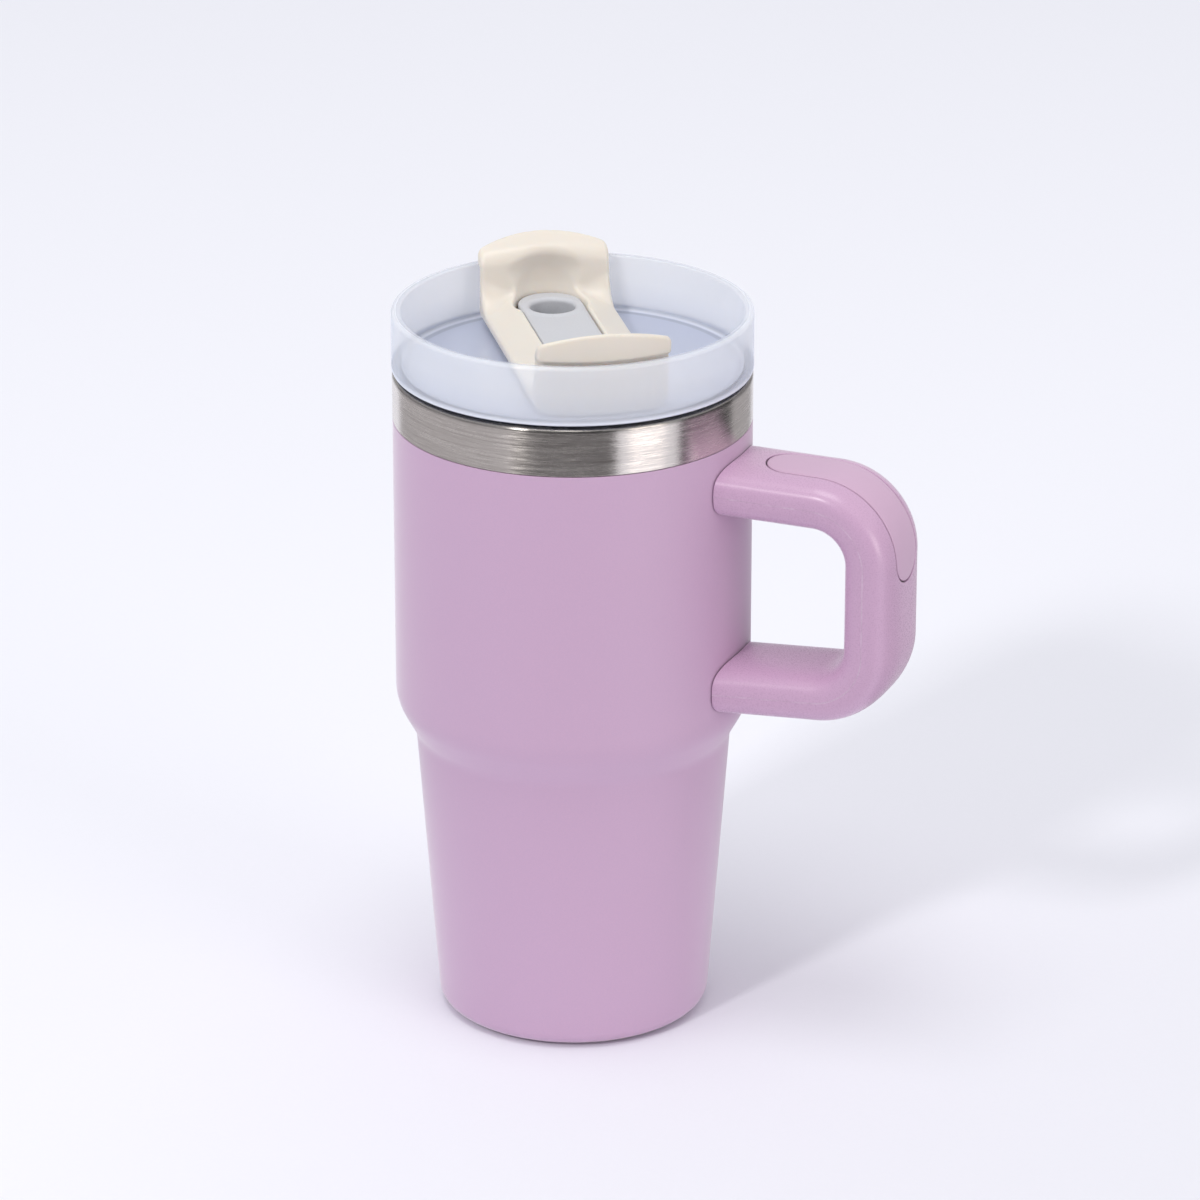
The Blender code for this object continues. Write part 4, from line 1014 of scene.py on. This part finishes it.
def cover_field(b, c, z):
    """Bar, tabs, slot with two pockets, bridge, boss and stop peg as one distance field in millimetres."""
    far = np.abs(b)
    wide = np.abs(c)
    spread = np.hypot(b, c)
    arch = TAB_ARCH - np.sqrt(np.maximum(TAB_ARCH**2 - c * c, 0))
    tab_top = TAB_TOP - arch - TAB_SLOPE * (TAB_REACH - far)
    tab = common((z - tab_top) * math.cos(math.atan(TAB_SLOPE)), TAB_FOOT - far, 2.6)
    roof = ARM_TOP - ROOF_SLOPE * np.maximum(wide - SLOT, 0)
    crease = 2.2 + 5.0 * step_up(wide, 9.0, 16.0)
    top = join(tab, (z - roof) * math.cos(math.atan(ROOF_SLOPE)), crease)
    high = step_up(z, 178.0, 187.0)
    chamfer = (wide - COVER_HALF + CHAMFER_LEVEL - z) * math.sqrt(0.5)
    body = common(top, np.maximum(wide - COVER_HALF, chamfer), 0.7 + 0.7 * high)
    lean = common(spread - TAB_REACH, LEAN_LEVEL - z, 0.35)
    body = common(body, join(spread - WELL_REACH, lean, 0.3), 0.8)
    body = common(body, COVER_LOW - z, 0.3)
    out = np.hypot(np.maximum(far - SLOT_MIDDLE, 0), c)
    scoop = np.sqrt((far - SCOOP_MIDDLE) ** 2 + c * c + (z - SCOOP_LEVEL) ** 2) - SCOOP
    slot = join(common(out - SLOT, z - SLOT_TOP, 0.5), scoop, 0.5)
    body = common(body, -slot, 0.6 + 2.2 * step_up(z, 178.5, 184.0))
    bridge_sides = np.maximum(far - BRIDGE, wide - BRIDGE_HALF)
    bridge = np.maximum(bridge_sides, np.maximum(z - BRIDGE_TOP, COVER_LOW - z))
    body = join(body, bridge, 0.3)
    boss = np.maximum(spread - BOSS, np.maximum(BOSS_LOW - z, z - PEG_TOP))
    body = join(body, boss, 0.3)
    from_peg = np.hypot(b, c - PEG_PLACE) - PEG
    peg = np.maximum(from_peg, np.maximum(PEG_LOW - z, z - PEG_TOP))
    return join(body, peg, 0.2)


def cover_place(points):
    """Turns points from the cover's directions to the lid's, in metres."""
    b, c, z = points.T
    x = b * math.cos(COVER_TURN) - c * math.sin(COVER_TURN)
    y = b * math.sin(COVER_TURN) + c * math.cos(COVER_TURN)
    return np.stack([x, y, z], -1) * MM


points, quads = field_skin(cover_field, (-43.03, -18.02, 165.01), (43, 18, 194), 0.42)
points = cover_place(points)
piece("turning_cover", points, quads, cream, "cover", ["rotating_cover"], "cream_plastic", sharp=50)

# %% [markdown]
# ## Straw seal
# The grey insert fills the cover's slot and closes round the straw. It is a soft block with a raised ring
# at the hole, so it is a field too, in the same directions. It sits 0.2 mm to one side in its slot.

# %% Straw seal
SEAL_SHIFT = 0.2
SEAL_HALF = 7.98
SEAL_TOP = 176.5
SEAL_LOW = 170.35
STRAW_HOLE = 5.6
HOLE_RING = 6.9
HOLE_RING_WIDTH = 0.9
HOLE_RING_HEIGHT = 0.3
BRIDGE_ROOM = 0.3


def seal_field(b, c, z):
    """A stadium block with a straw hole, a raised ring h exp(-((r - R) / w)^2) and room for the bridge."""
    c = c + SEAL_SHIFT
    out = np.hypot(np.maximum(np.abs(b) - SLOT_MIDDLE, 0), c)
    from_straw = np.hypot(b - STRAW, c)
    ring = HOLE_RING_HEIGHT * np.exp(-(((from_straw - HOLE_RING) / HOLE_RING_WIDTH) ** 2))
    body = common(out - SEAL_HALF, z - SEAL_TOP - ring, 0.6)
    body = common(body, SEAL_LOW - z, 0.2)
    body = common(body, STRAW_HOLE - from_straw, 0.7)
    bridge_sides = np.maximum(np.abs(b) - BRIDGE, np.abs(c) - BRIDGE_HALF)
    bridge = np.maximum(bridge_sides, z - BRIDGE_TOP) - BRIDGE_ROOM
    return common(body, -bridge, 0.15)


points, quads = field_skin(seal_field, (-37.51, -9.02, 169.03), (37.5, 9, 178.5), 0.36)
points = cover_place(points)
piece("straw_insert", points, quads, silicone, "cover", ["straw_seal"], "grey_silicone", sharp=50)

# %% [markdown]
# ## Pivot pieces
# Under the deck an o-ring seals the pivot and a disc keeps the cover on. Both are turned: the ring is a
# small circle carried round the axis.

# %% Pivot pieces
RING_MIDDLE = 5.9
RING_LEVEL = 166.95
RING_CORD = 0.75
cord = np.linspace(0, 2 * math.pi, 24, endpoint=False)
ring_r = RING_MIDDLE + RING_CORD * np.cos(cord)
ring_z = RING_LEVEL + RING_CORD * np.sin(cord)
ring_corners = [(r, z, 0) for r, z in zip(ring_r, ring_z)]
turned("pivot_ring", ring_corners, silicone, "cover", ["pivot_o_ring"], "grey_silicone", steps=72)
disc = [(1.6, 163.9, 0.1), (8.0, 163.9, 0.4), (8.0, 165.9, 0.4), (1.6, 165.9, 0.1)]
turned("pivot_disc", disc, cream, "cover", ["pivot_retainer"], "cream_plastic", steps=96)

# %% [markdown]
# ## Hidden metal and glass
# The plate, clip and screws, the brackets in the handle, the glass bead and the getter pill are hardly
# ever seen, so their solids from the frame stay and only get finishes. The bead is dark glass that has
# melted and set, and the pill is a dull crumb of pressed metal.

# %% Hidden metal and glass
glass = Finish("solder_glass", specular_ior_level=0.6, coat_weight=0.4)
swirl = glass.noise(500, 3)
glass_tone = glass.blend(swirl, (0.15, 0.19, 0.17), (0.21, 0.25, 0.23))
glass.paint(colour=glass_tone, roughness=0.10 + swirl * 0.1)
sintered = Finish("getter_metal", metallic=0.6)
crumbs = sintered.noise(3000, 3)
pill_tone = sintered.blend(crumbs, (0.25, 0.24, 0.23), (0.36, 0.35, 0.34))
sintered.paint(colour=pill_tone, roughness=0.6 + crumbs * 0.2)
steel_names = ["vacuum_bottom", "getter_clip", "upper_bracket", "lower_bracket"]
steel_names += ["upper_screw", "lower_screw", "pivot_screw"]
left_showing = dict.fromkeys(steel_names, steel)
left_showing["glass_seal"] = glass
left_showing["getter"] = sintered
for name, finish in left_showing.items():
    for material_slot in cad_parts[name].material_slots:
        material_slot.material = finish.material
print(len(left_showing), "solids keep their meshes")

# %% [markdown]
# ## Last update
# The scene is brought up to date at the end.

# %% Last update
bpy.context.view_layer.update()
